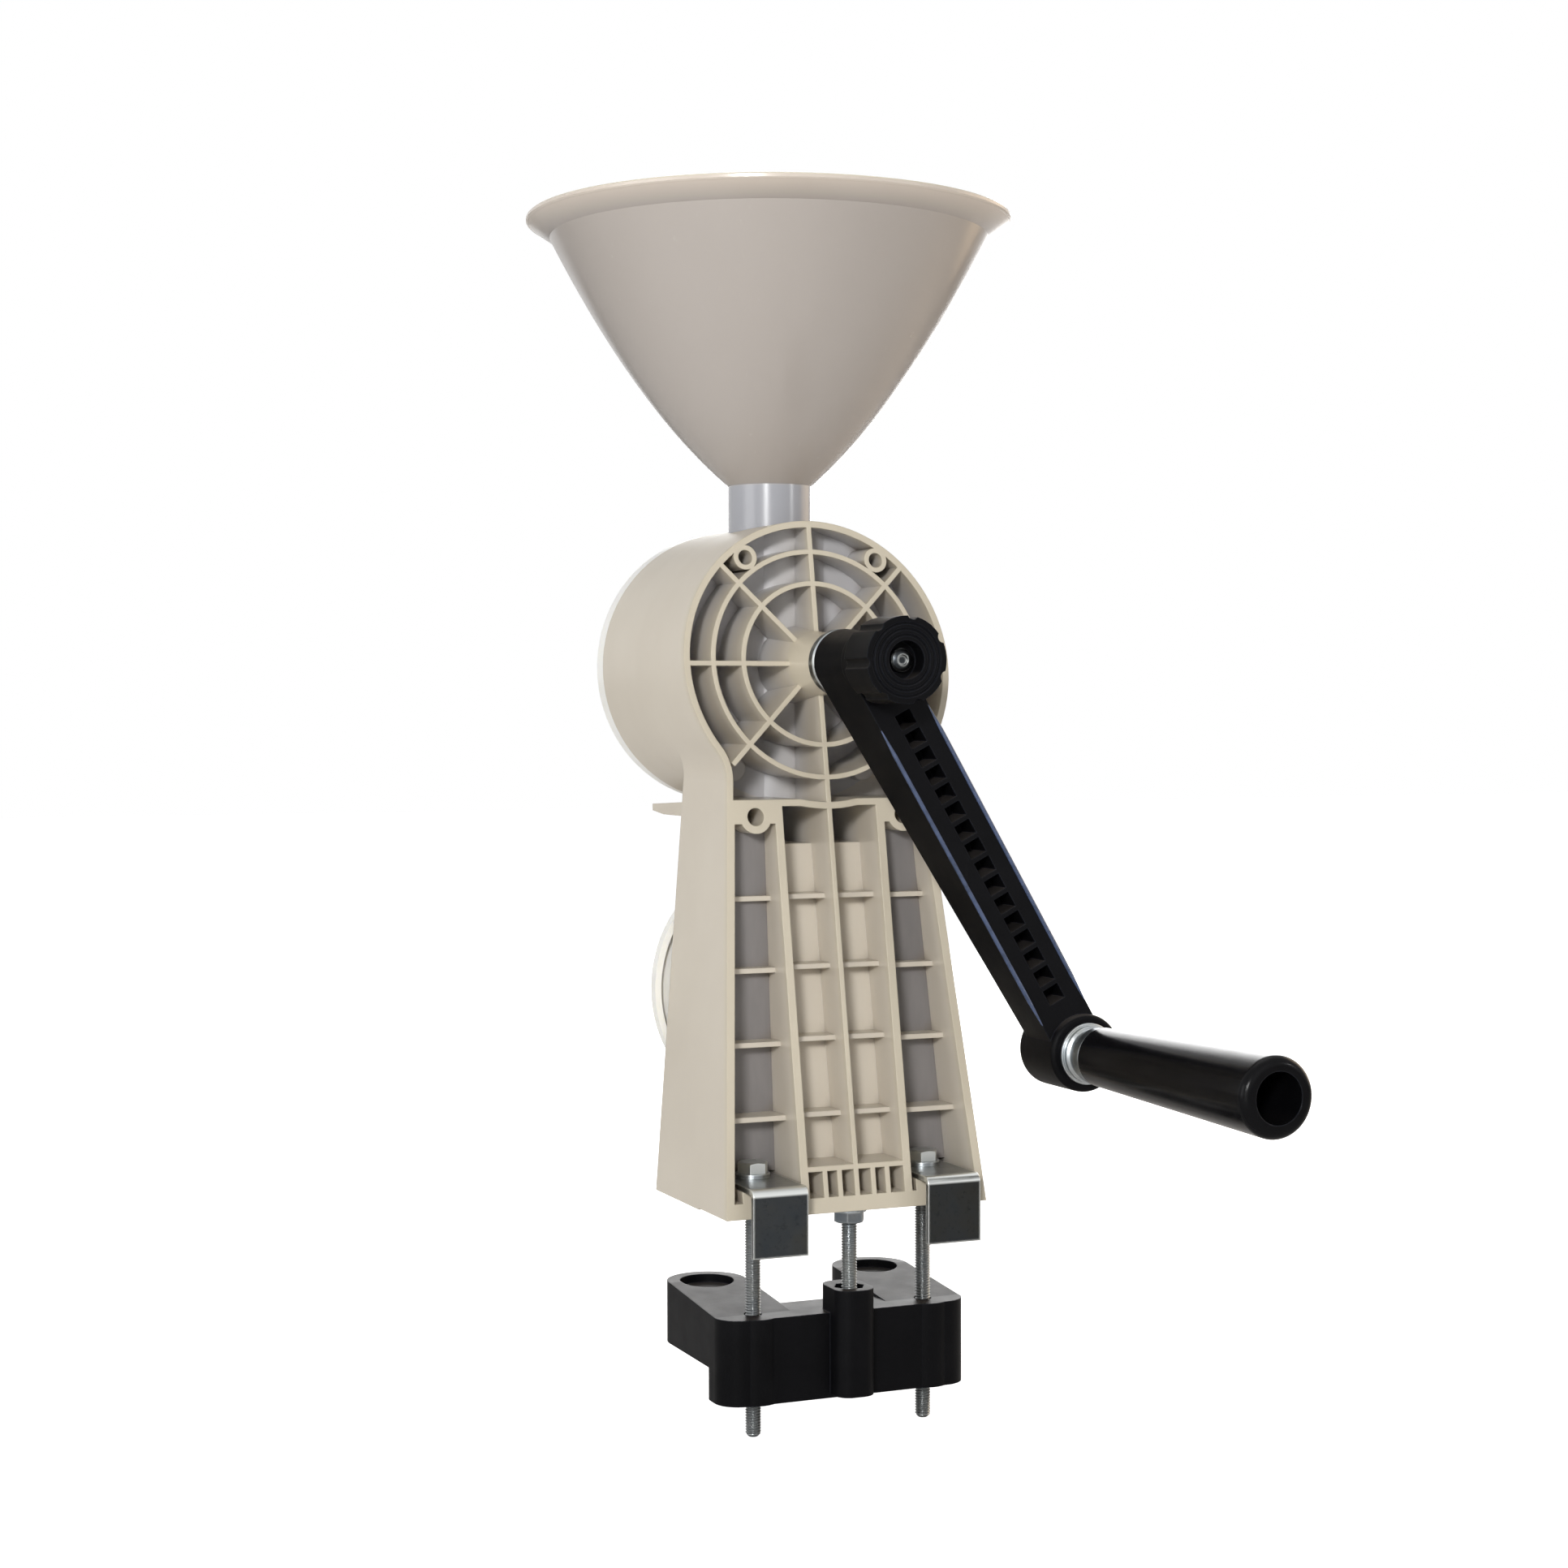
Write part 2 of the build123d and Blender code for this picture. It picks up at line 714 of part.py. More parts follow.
# ---------------------------------------------------------------- burrs, shaft and auger


def burr_grooves(face_y):
    """Slanting grooves cut into a burr's working face."""
    grooves = []
    reach = burr_r + burr_groove_w
    for step in range(burr_groove_count):
        groove = Pos(reach / 2 + auger_bore_r / 2, auger_root_r) * Rectangle(reach, burr_groove_w)
        turned = Pos(0, axis_z) * Rot(0, 0, step * 360 / burr_groove_count) * groove
        grooves.append(slab(turned, face_y - burr_groove_depth, face_y + burr_groove_depth))
    return grooves


def make_burr_carrier():
    """Disc that closes the space round the feed tube and backs the fixed burr."""
    carrier = rod(drum_r - drum_wall - bulk_clearance, carrier_y, burr_y)
    carrier -= rod(auger_bore_r, 0, far)
    for across, height in cover_screw_places():
        carrier -= rod(upper_boss_r + bulk_clearance, 0, far, across, height)
    for across, height in burr_screw_places():
        carrier -= rod(burr_screw_r + play, 0, far, across, height)
    return carrier


def make_fixed_burr():
    burr = rod(burr_r, burr_y, burr_y + burr_t) - rod(auger_bore_r, 0, far)
    burr = burr.cut(*burr_grooves(burr_y + burr_t))
    for across, height in burr_screw_places():
        burr -= rod(burr_screw_r + play, 0, far, across, height)
        head_y = burr_y + burr_t - burr_groove_depth - cover_screw_head_t
        burr -= rod(burr_screw_head_r + play, head_y, far, across, height)
    return burr


def make_burr_screws():
    head_y = burr_y + burr_t - burr_groove_depth - cover_screw_head_t
    length = head_y - carrier_y + burr_t
    screw = screw_along_y(burr_screw_r, burr_screw_head_r, cover_screw_head_t, head_y, length)
    return [Pos(across, 0, height) * screw for across, height in burr_screw_places()]


def make_moving_burr():
    burr = rod(burr_r, moving_burr_y, moving_burr_back_y)
    burr = burr.cut(*burr_grooves(moving_burr_y))
    burr += rod(burr_hub_r, moving_burr_y + burr_groove_depth, moving_burr_back_y + burr_hub_len)
    burr -= rod(shaft_r + running_fit, 0, far)
    return burr - drive_pin(fit)


def drive_pin(extra=0.0):
    """Cross pin through the front of the shaft and the moving burr's hub."""
    centre = Pos(0, moving_burr_back_y + burr_hub_len / 2, axis_z)
    return centre * Rot(0, 90, 0) * Cylinder(drive_pin_r + extra, 2 * (drive_pin_half + extra))


def make_drive_shaft():
    """Shaft: round in the bush, square in the crank, threaded at its end for the crank knob."""
    shaft = rod(shaft_r, arm_eye_y + fit, shaft_front_y)
    square = Pos(0, axis_z) * Rectangle(shaft_square, shaft_square)
    square = slab(square, arm_collar_y + over, arm_eye_y + over)
    shaft += swing(square) & rod(shaft_r, -far, far)
    end = arm_collar_y - knob_gap - knob_t + knob_recess_depth - shaft_thread_reach
    shaft += rod(shaft_thread_r, end, arm_collar_y + 2 * over)
    return shaft - drive_pin(running_fit / 2)


def make_auger():
    """Feed screw: sleeve on the shaft with one helical flight."""
    near = drum_floor_y + drum_floor_t + play
    end = carrier_y - auger_end_gap
    sleeve = rod(auger_root_r, near, moving_burr_y - fit)
    length = end - near - 2 * auger_flight_t
    path = Helix(auger_pitch, length, auger_root_r - over)
    height = auger_r - auger_root_r + over
    section = Pos(auger_root_r - over + height / 2, 0) * Rectangle(height, auger_flight_t)
    flight = sweep(Plane.XZ * section, path, is_frenet=True)
    flight = Pos(0, near + auger_flight_t, axis_z) * Rot(-90, 0, 0) * flight
    turned = sleeve + flight
    return turned - rod(shaft_r + running_fit, 0, far)


def make_crank_bush():
    bush = rod(bush_r, hub_tip_y, drum_floor_y + drum_floor_t)
    return bush - rod(shaft_r + running_fit, -far, far)


def make_hub_washer():
    washer = rod(hub_washer_r, hub_tip_y - hub_washer_t - play / 2, hub_tip_y - play / 2)
    return washer - rod(shaft_r + running_fit, -far, far)


# ---------------------------------------------------------------- crank


def swing(piece):
    """Turn a piece drawn on the hanging crank to the crank's resting angle."""
    return Pos(0, 0, axis_z) * Rot(0, -crank_angle, 0) * Pos(0, 0, -axis_z) * piece


def crank_end_z():
    """Height of the grip's axis while the crank hangs straight down."""
    return axis_z - arm_length


def arm_section(height, front_half, back_half, front, back):
    """Level section of the arm at a height: a trapezium between its front and back faces."""
    corners = ((-front_half, front), (front_half, front), (back_half, back), (-back_half, back))
    return Pos(0, 0, height) * make_face(Polyline(*corners, close=True))


def arm_face_y(height):
    """Y of the arm's leaning front face at a height."""
    return arm_front_y - arm_lean_out * (axis_z - height) / arm_length


def arm_pockets():
    """Row of square pockets in the arm's front face."""
    pockets = []
    for step in range(pocket_count):
        top = axis_z - pocket_start - step * pocket_pitch
        outline = rectangle((-pocket_half, pocket_half), (top - pocket_pitch + pocket_rib_t, top))
        pockets.append(slab(outline, arm_face_y(axis_z) - far / 4, arm_face_y(top) + pocket_depth))
    return pockets


def make_crank_arm():
    """Leaning arm with an eye and a collar at the shaft, a row of pockets and an end boss at the grip."""
    end_z = crank_end_z()
    tip_front = arm_front_y - arm_lean_out
    high = arm_section(axis_z, arm_front_half, arm_eye_r, arm_front_y, arm_eye_y)
    low = arm_section(end_z, arm_tip_half, arm_tip_half, tip_front, tip_front + arm_tip_t)
    arm = loft([high, low], ruled=True)
    front = arm.faces().sort_by(Axis.Y)[0]
    edges = [e for e in front.edges() if abs(e.center().X) > over]
    arm = fillet(edges, arm_edge_r)
    eye = Cone(arm_eye_r, arm_front_half, arm_eye_y - arm_front_y)
    arm += Pos(0, (arm_eye_y + arm_front_y) / 2, axis_z) * Rot(90, 0, 0) * eye
    arm += rod(arm_collar_r, arm_collar_y, arm_front_y + arm_edge_r)
    end = rod(arm_end_r, arm_end_front_y, arm_end_back_y, 0, end_z)
    arm += fillet(end.edges().filter_by(GeomType.CIRCLE), arm_edge_r)
    arm = arm.cut(*arm_pockets())
    bore = slab(Pos(0, axis_z) * Rectangle(shaft_square + fit, shaft_square + fit), -far, far)
    arm -= bore & rod(shaft_r + running_fit, -far, far)
    arm -= rod(handle_bolt_r + fit, -far, far, 0, end_z)
    arm -= handle_hexagon(handle_nut_flat + fit, arm_end_back_y - handle_nut_t - fit, 0)
    return swing(arm)


def make_crank_knob():
    """Lobed knob screwed on the end of the shaft, with stepped rings and a recess in its face."""
    back = arm_collar_y - knob_gap
    face = back - knob_t
    knob = slab(lobed_disc(knob_r, knob_lobes, knob_turn), face, back)
    for radius in knob_step_radii:
        ring = rod(radius, face - over, face + knob_step_depth)
        knob -= ring - rod(radius - knob_step_w, face - over, face + knob_step_depth)
    knob -= rod(knob_recess_r, face - over, face + knob_recess_depth)
    return knob - rod(shaft_thread_r + running_fit, -far, far)


def make_handle_washer():
    """Flanged spacer between the arm and the grip."""
    end_z = crank_end_z()
    flange_y = arm_end_front_y - handle_washer_t
    washer = rod(handle_washer_r, flange_y, arm_end_front_y, 0, end_z)
    washer += rod(handle_barrel_r, flange_y - handle_barrel_len, arm_end_front_y, 0, end_z)
    return swing(washer - rod(handle_bolt_r + fit, -far, far, 0, end_z))


def handle_hexagon(flat, near, far_y):
    """Hexagonal bar on the grip's axis."""
    return slab(Pos(0, crank_end_z()) * RegularPolygon(flat / 2, 6, major_radius=False), near, far_y)


def make_handle_bolt():
    """Bolt that the grip turns on, its head down inside the grip."""
    head_y = grip_back_y - grip_web_t - play
    face = head_y - handle_head_t
    bolt = rod(handle_head_r, face, head_y, 0, crank_end_z())
    bolt += rod(handle_bolt_r, head_y - over, arm_end_back_y - fit, 0, crank_end_z())
    return swing(bolt - handle_hexagon(handle_key_flat, face - over, face + handle_head_t / 2))


def make_handle_nut():
    """Nut let into the back of the arm's end boss."""
    nut = handle_hexagon(handle_nut_flat, arm_end_back_y - handle_nut_t, arm_end_back_y)
    return swing(nut - rod(handle_bolt_r + running_fit, -far, far, 0, crank_end_z()))


def make_grip():
    """Tapered grip with a rounded open end; it turns on the handle bolt."""
    grip = Cone(grip_end_r, grip_base_r, grip_length, align=(Align.CENTER, Align.CENTER, Align.MIN))
    grip = Pos(0, grip_front_y, crank_end_z()) * Rot(-90, 0, 0) * grip
    grip = fillet(grip.edges().filter_by(GeomType.CIRCLE).sort_by(Axis.Y)[0], grip_end_fillet)
    grip -= rod(grip_bore_r, -far, grip_back_y - grip_web_t, 0, crank_end_z())
    grip -= rod(handle_bolt_r + running_fit, -far, far, 0, crank_end_z())
    return swing(grip)


# ---------------------------------------------------------------- clamp


def make_bracket(side):
    """Bent steel bracket that spreads the bolt's pull and hangs behind the foot."""
    x_range = sorted((side * bracket_inner_x, side * bracket_outer_x))
    top = bracket_z + bracket_t
    bracket = block(x_range, (bracket_back_y, bracket_near_y), (bracket_drop_z, top))
    bracket -= block((-far, far), (bracket_back_y + bracket_t, far), (-far, bracket_z))
    outer = bracket.edges().filter_by(Axis.X).sort_by(lambda e: e.center().Y - e.center().Z)[0]
    bracket = fillet(outer, bracket_bend_r)
    return bracket - post(bolt_hole_r, -far, far, side * bolt_x, bolt_y)


def make_clamp_bolt(side):
    """Long hexagon-head bolt of the clamp."""
    seat = bracket_z + bracket_t + washer_t
    bolt = hexagon_post(hex_flat, seat, seat + hex_head_t, side * bolt_x, bolt_y)
    return bolt + post(bolt_r, bolt_end_z, seat + over, side * bolt_x, bolt_y)


def make_bolt_washers():
    seat = bracket_z + bracket_t
    return [
        post(washer_r, seat, seat + washer_t, side * bolt_x, bolt_y)
        - post(bolt_r + running_fit, 0, far, side * bolt_x, bolt_y)
        for side in (-1, 1)
    ]


def make_retaining_washers():
    """Push-on washers that keep the bolts from dropping out of the foot."""
    return [
        post(retainer_r, sole_step - retainer_t - fit, sole_step - fit, side * bolt_x, bolt_y)
        - post(bolt_r + running_fit, -far, far, side * bolt_x, bolt_y)
        for side in (-1, 1)
    ]


def make_heel_screw():
    """Screw whose head bears up on the foot's underside and whose shank runs in the block."""
    head_top = sole_step - heel_washer_t
    screw = hexagon_post(hex_flat, head_top - heel_head_t, head_top, 0, heel_y)
    screw += post(bolt_r, heel_end_z, head_top - over, 0, heel_y)
    return screw + post(heel_pilot_r, head_top - over, sole_step + heel_pilot_h, 0, heel_y)


def make_heel_washer():
    washer = post(washer_r, sole_step - heel_washer_t, sole_step, 0, heel_y)
    return washer - post(heel_pilot_r + running_fit, -far, far, 0, heel_y)


def fork_arm(side):
    """One forward arm of the clamp block: round-ended, rising a little to its pad recess."""
    x = side * bolt_x
    plan = Pos(x, fork_end_y) * Circle(fork_end_r)
    plan += Pos(x, (fork_end_y + bolt_y) / 2) * Rectangle(2 * fork_end_r, fork_end_y - bolt_y)
    arm = Pos(0, 0, block_bottom_z) * extrude(plan, -block_bottom_z)
    side_view = (
        (bolt_y, block_top_z),
        (fork_end_y, fork_top_z),
        (fork_end_y + fork_end_r + over, fork_top_z),
        (fork_end_y + fork_end_r + over, fork_top_z - fork_h),
        (bolt_y, fork_top_z - fork_h),
    )
    arm &= prism(side_view, far / 2)
    return arm - post(pad_recess_r, fork_top_z - pad_recess_depth, 0, x, fork_end_y)


def make_clamp_block():
    """Forked block that the bolts pull up against the underside of a table."""
    centre_y = (block_back_y + block_front_y) / 2
    bar = Pos(0, centre_y) * RectangleRounded(2 * block_half, block_front_y - block_back_y, block_corner_r)
    body = Pos(0, 0, block_bottom_z) * extrude(bar, block_top_z - block_bottom_z)
    boss_y = block_back_y + rod_boss_r - rod_boss_proud
    for side in (-1, 1):
        body += post(rod_boss_r, block_bottom_z, block_top_z, side * bolt_x, boss_y)
        body += fork_arm(side)
    heel = Pos(0, (heel_boss_back_y + centre_y) / 2)
    heel *= RectangleRounded(2 * heel_boss_half, centre_y - heel_boss_back_y, heel_boss_corner_r)
    body += Pos(0, 0, heel_boss_bottom_z) * extrude(heel, heel_boss_top_z - heel_boss_bottom_z)
    for side in (-1, 1):
        body -= post(bolt_r + play, -far, far, side * bolt_x, bolt_y)
        body -= hexagon_post(hex_flat + fit, -far, block_bottom_z + nut_t, side * bolt_x, bolt_y)
    body -= post(bolt_r + play, -far, far, 0, heel_y)
    return body - hexagon_post(hex_flat + fit, heel_boss_top_z - heel_nut_drop - nut_t, far, 0, heel_y)


def make_captive_nuts():
    """Nuts pressed into the underside of the clamp block."""
    return [
        hexagon_post(hex_flat, block_bottom_z, block_bottom_z + nut_t, side * bolt_x, bolt_y)
        - post(bolt_r + running_fit, -far, far, side * bolt_x, bolt_y)
        for side in (-1, 1)
    ]


def make_heel_nut():
    top = heel_boss_top_z - heel_nut_drop
    nut = hexagon_post(hex_flat, top - nut_t, top, 0, heel_y)
    return nut - post(bolt_r + running_fit, -far, far, 0, heel_y)


# ---------------------------------------------------------------- all the nodes


def make_nodes():
    """Every node's name with its solid or its group of alike solids."""
    return {
        "main_body": make_main_body(),
        "hopper": make_hopper(),
        "front_cover": make_front_cover(),
        "cover_screws": make_cover_screws(),
        "adjuster_sleeve": make_adjuster_sleeve(),
        "adjusting_screw": make_adjusting_screw(),
        "adjusting_knob": make_adjusting_knob(),
        "foot_cap": make_foot_cap(),
        "burr_carrier": make_burr_carrier(),
        "fixed_burr": make_fixed_burr(),
        "burr_screws": make_burr_screws(),
        "moving_burr": make_moving_burr(),
        "drive_pin": drive_pin(),
        "drive_shaft": make_drive_shaft(),
        "auger": make_auger(),
        "crank_bush": make_crank_bush(),
        "hub_washer": make_hub_washer(),
        "crank_arm": make_crank_arm(),
        "crank_knob": make_crank_knob(),
        "handle_washer": make_handle_washer(),
        "handle_bolt": make_handle_bolt(),
        "handle_nut": make_handle_nut(),
        "grip": make_grip(),
        "bracket_left": make_bracket(-1),
        "bracket_right": make_bracket(1),
        "clamp_bolt_left": make_clamp_bolt(-1),
        "clamp_bolt_right": make_clamp_bolt(1),
        "bolt_washers": make_bolt_washers(),
        "retaining_washers": make_retaining_washers(),
        "heel_screw": make_heel_screw(),
        "heel_washer": make_heel_washer(),
        "clamp_block": make_clamp_block(),
        "captive_nuts": make_captive_nuts(),
        "heel_nut": make_heel_nut(),
    }


os.makedirs("parts", exist_ok=True)
for name, solid in make_nodes().items():
    shape = Compound(children=solid) if isinstance(solid, list) else solid
    export_step(shape, f"parts/{name}.step")
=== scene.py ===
"""Finished look of the hand crank peanut grinder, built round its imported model. Metres, +Z up."""

import json
import math

import bmesh
import bpy
from mathutils import Matrix, Vector


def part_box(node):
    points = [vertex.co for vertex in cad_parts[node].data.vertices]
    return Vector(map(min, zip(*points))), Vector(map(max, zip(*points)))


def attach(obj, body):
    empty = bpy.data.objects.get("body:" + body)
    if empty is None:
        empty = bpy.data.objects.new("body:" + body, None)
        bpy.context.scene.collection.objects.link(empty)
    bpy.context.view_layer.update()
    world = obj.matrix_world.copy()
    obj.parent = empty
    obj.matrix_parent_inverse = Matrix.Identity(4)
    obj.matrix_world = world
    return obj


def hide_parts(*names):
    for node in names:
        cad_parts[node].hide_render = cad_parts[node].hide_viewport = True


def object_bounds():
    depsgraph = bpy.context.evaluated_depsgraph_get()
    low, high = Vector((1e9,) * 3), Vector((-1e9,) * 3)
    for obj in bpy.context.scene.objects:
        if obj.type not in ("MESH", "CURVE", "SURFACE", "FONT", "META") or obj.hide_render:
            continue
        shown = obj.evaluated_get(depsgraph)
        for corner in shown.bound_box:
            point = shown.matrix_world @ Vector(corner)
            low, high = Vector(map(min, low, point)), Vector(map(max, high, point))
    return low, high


# Camera of the photograph.
CAMERA_PLACE = Vector((-0.39172, -0.88948, 0.17610))
CAMERA_TURN = math.radians(23.016)
CAMERA_DIP = math.radians(1.494)
CAMERA_ROLL = math.radians(-0.109)
SENSOR_MM = 36.0
LENS_MM = 61.25

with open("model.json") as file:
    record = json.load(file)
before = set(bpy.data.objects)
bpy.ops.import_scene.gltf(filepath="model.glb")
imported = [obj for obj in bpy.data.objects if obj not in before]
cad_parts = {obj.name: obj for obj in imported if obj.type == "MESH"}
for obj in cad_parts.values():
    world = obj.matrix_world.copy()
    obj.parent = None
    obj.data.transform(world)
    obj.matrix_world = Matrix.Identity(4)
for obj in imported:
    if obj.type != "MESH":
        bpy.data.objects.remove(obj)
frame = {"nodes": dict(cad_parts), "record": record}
cad_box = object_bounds()
nodes = frame["nodes"]


# ---------------------------------------------------------------- materials


def new_material(name):
    """An empty node material with its Principled shader, and the node tree it lives in."""
    material = bpy.data.materials.new(name)
    material.use_nodes = True
    shader = material.node_tree.nodes["Principled BSDF"]
    return material, material.node_tree, shader


def add(tree, kind, **inputs):
    """Add a node and set the inputs that are named, underscores standing for spaces."""
    node = tree.nodes.new(kind)
    for name, value in inputs.items():
        node.inputs[name.replace("_", " ")].default_value = value
    return node


def noise(tree, scale, detail=3.0, roughness=0.5, stretch=(1.0, 1.0, 1.0)):
    """Noise over the object's own coordinates, scale in ripples per metre."""
    coords = tree.nodes.new("ShaderNodeTexCoord")
    mapping = tree.nodes.new("ShaderNodeMapping")
    mapping.inputs["Scale"].default_value = stretch
    tree.links.new(coords.outputs["Object"], mapping.inputs["Vector"])
    texture = add(tree, "ShaderNodeTexNoise", Scale=scale, Detail=detail, Roughness=roughness)
    tree.links.new(mapping.outputs["Vector"], texture.inputs["Vector"])
    return texture.outputs["Fac"]


def ramp(tree, source, stops):
    """Colour ramp through stops of (position, colour)."""
    node = tree.nodes.new("ShaderNodeValToRGB")
    elements = node.color_ramp.elements
    while len(elements) < len(stops):
        elements.new(0.5)
    for element, (position, colour) in zip(elements, stops):
        element.position = position
        element.color = (*colour, 1.0)
    tree.links.new(source, node.inputs["Fac"])
    return node.outputs["Color"]


def spread(tree, source, low, high):
    """Map a 0 to 1 value to the range low to high."""
    node = add(tree, "ShaderNodeMapRange", To_Min=low, To_Max=high)
    tree.links.new(source, node.inputs["Value"])
    return node.outputs["Result"]


def mix(tree, factor, first, second, blend="MIX"):
    """Mix two colours; factor is a number or a socket."""
    node = tree.nodes.new("ShaderNodeMix")
    node.data_type = "RGBA"
    node.blend_type = blend
    for value, socket in ((factor, node.inputs[0]), (first, node.inputs[6]), (second, node.inputs[7])):
        if isinstance(value, bpy.types.NodeSocket):
            tree.links.new(value, socket)
        elif isinstance(value, tuple):
            socket.default_value = (*value, 1.0)
        else:
            socket.default_value = value
    return node.outputs[2]


def bump(tree, shader, source, depth, strength=1.0, base=None):
    """Raise the surface by depth metres where source is 1, over an earlier bump if one is given."""
    node = add(tree, "ShaderNodeBump", Strength=strength, Distance=depth)
    tree.links.new(source, node.inputs["Height"])
    if base is not None:
        tree.links.new(base, node.inputs["Normal"])
    tree.links.new(node.outputs["Normal"], shader.inputs["Normal"])
    return node.outputs["Normal"]


def crevice(tree, reach):
    """1 where the surface is open, falling to 0 in corners narrower than reach."""
    node = add(tree, "ShaderNodeAmbientOcclusion", Distance=reach)
    node.samples = 8
    return node.outputs["AO"]


def object_place(tree):
    """The shaded point in the object's own metres, with its X, Y and Z apart."""
    coords = tree.nodes.new("ShaderNodeTexCoord")
    parts = tree.nodes.new("ShaderNodeSeparateXYZ")
    tree.links.new(coords.outputs["Object"], parts.inputs[0])
    return parts.outputs


def calc(tree, operation, first, second=0.0, third=0.0):
    """One Math node; each value is a number or a socket."""
    node = tree.nodes.new("ShaderNodeMath")
    node.operation = operation
    for value, socket in zip((first, second, third), node.inputs):
        if isinstance(value, bpy.types.NodeSocket):
            tree.links.new(value, socket)
        else:
            socket.default_value = value
    return node.outputs[0]


def fade(tree, source, start, end):
    """0 where source is at start, 1 where it is at end, clamped."""
    node = add(tree, "ShaderNodeMapRange", From_Min=start, From_Max=end)
    tree.links.new(source, node.inputs["Value"])
    return node.outputs["Result"]


def rounded(tree, radius):
    """Normal that shades sharp edges as if they had this radius."""
    node = tree.nodes.new("ShaderNodeBevel")
    node.samples = 4
    node.inputs["Radius"].default_value = radius
    return node.outputs["Normal"]


def edge_band(tree, radius, start, end):
    """1 within radius of a sharp edge, 0 on flat faces."""
    shape = tree.nodes.new("ShaderNodeNewGeometry")
    along = tree.nodes.new("ShaderNodeVectorMath")
    along.operation = "DOT_PRODUCT"
    tree.links.new(rounded(tree, radius), along.inputs[0])
    tree.links.new(shape.outputs["Normal"], along.inputs[1])
    return fade(tree, along.outputs["Value"], start, end)


def facing_up(tree):
    """Z of the surface's normal."""
    shape = tree.nodes.new("ShaderNodeNewGeometry")
    parts = tree.nodes.new("ShaderNodeSeparateXYZ")
    tree.links.new(shape.outputs["Normal"], parts.inputs[0])
    return parts.outputs[2]


def shade_corners(tree, colour, reach, open_from):
    """Colour with painted shade in corners narrower than reach; the last argument is the openness above which
    none is painted.
    """
    corners = ramp(tree, crevice(tree, reach), [(0.05, (0.8,) * 3), (open_from, (0, 0, 0))])
    return mix(tree, corners, colour, CORNER_SHADE)


def moulded_plastic():
    """Greige moulding: cream along the open back's edges, greyer down in its cells as painted shade, and
    darker in narrow corners as painted shade.
    """
    material, tree, shader = new_material("moulded_plastic")
    x, y, z = object_place(tree)[:]
    rise = calc(tree, "SUBTRACT", z, AXIS_Z)
    depth = calc(tree, "SUBTRACT", y, calc(tree, "MULTIPLY", rise, BACK_SLOPE))
    squares = calc(tree, "ADD", calc(tree, "MULTIPLY", x, x), calc(tree, "MULTIPLY", rise, rise))
    radius = calc(tree, "SQRT", squares)
    in_drum = fade(tree, radius, DRUM_R - DRUM_SKIN[0], DRUM_R - DRUM_SKIN[1])
    flare = calc(tree, "MULTIPLY_ADD", z, FOOT_TAPER, calc(tree, "ABSOLUTE", x))
    within_sides = fade(tree, flare, FOOT_HALF - FOOT_SKIN[0], FOOT_HALF - FOOT_SKIN[1])
    in_foot = calc(tree, "MULTIPLY", within_sides, fade(tree, z, *FOOT_TOP_Z))
    behind_front = fade(tree, y, FOOT_FRONT_Y - FRONT_SKIN[0], FOOT_FRONT_Y - FRONT_SKIN[1])
    inside = calc(tree, "MULTIPLY", calc(tree, "MAXIMUM", in_drum, in_foot), behind_front)
    sunk_anywhere = fade(tree, depth, *SUNK_DEPTHS)
    sunk_in_drum = calc(tree, "MULTIPLY", in_drum, fade(tree, y, *DRUM_SUNK_Y))
    sunk = calc(tree, "MAXIMUM", sunk_anywhere, sunk_in_drum)
    mottle = ramp(tree, noise(tree, 9.0, 4.0, 0.6), [(0.3, BODY_SHADE), (0.7, BODY_LIGHT)])
    # Painted shade: the cells' insides are mixed toward a greyer colour the deeper they lie.
    deep = mix(tree, calc(tree, "MULTIPLY", inside, sunk), mottle, BODY_RECESS_SHADE)
    edge = fade(tree, depth, *EDGE_DEPTHS)
    creamy = mix(tree, calc(tree, "MULTIPLY", edge, 0.85), deep, BODY_CREAM)
    tree.links.new(shade_corners(tree, creamy, 0.005, 0.55), shader.inputs["Base Color"])
    dull = spread(tree, noise(tree, 60.0), 0.38, 0.52)
    tree.links.new(calc(tree, "MULTIPLY_ADD", inside, -0.14, dull), shader.inputs["Roughness"])
    fine = bump(tree, shader, noise(tree, 2600.0, 2.0), 0.00003, 0.3, rounded(tree, 0.0005))
    bump(tree, shader, noise(tree, 45.0, 2.0), 0.0003, 0.2, fine)
    return material


def glossy_hopper():
    """Smooth glossy greige plastic with faint upright flow marks, a paler brim that is painted light, and a
    painted highlight along the top of the rim.
    """
    material, tree, shader = new_material("hopper_plastic")
    z = object_place(tree)[2]
    tone = ramp(tree, noise(tree, 7.0, 3.0, 0.5, (1, 1, 0.4)), [(0.3, HOPPER_SHADE), (0.7, HOPPER_LIGHT)])
    scuffs = ramp(tree, noise(tree, 150.0, 5.0, 0.7, (1, 1, 0.3)), [(0.66, (0, 0, 0)), (0.78, (0.3,) * 3)])
    scuffed = mix(tree, scuffs, tone, HOPPER_SCUFF)
    neck = mix(tree, fade(tree, z, *NECK_Z), scuffed, HOPPER_NECK)
    # Painted light: the brim, whose underside faces down, is made paler.
    brim = mix(tree, fade(tree, z, *BRIM_Z), neck, HOPPER_BRIM_LIT)
    # Painted highlight: the up-facing top of the rim is turned cream.
    on_crown = calc(tree, "MULTIPLY", fade(tree, facing_up(tree), 0.35, 0.75), fade(tree, z, *CROWN_Z))
    crown = mix(tree, on_crown, brim, HOPPER_CROWN_HIGHLIGHT)
    tree.links.new(crown, shader.inputs["Base Color"])
    tree.links.new(spread(tree, noise(tree, 40.0), 0.18, 0.30), shader.inputs["Roughness"])
    flow = bump(tree, shader, noise(tree, 26.0, 2.0, 0.5, (1, 1, 0.15)), 0.0005, 0.2)
    bump(tree, shader, noise(tree, 1800.0, 1.0), 0.00002, 0.2, flow)
    return material


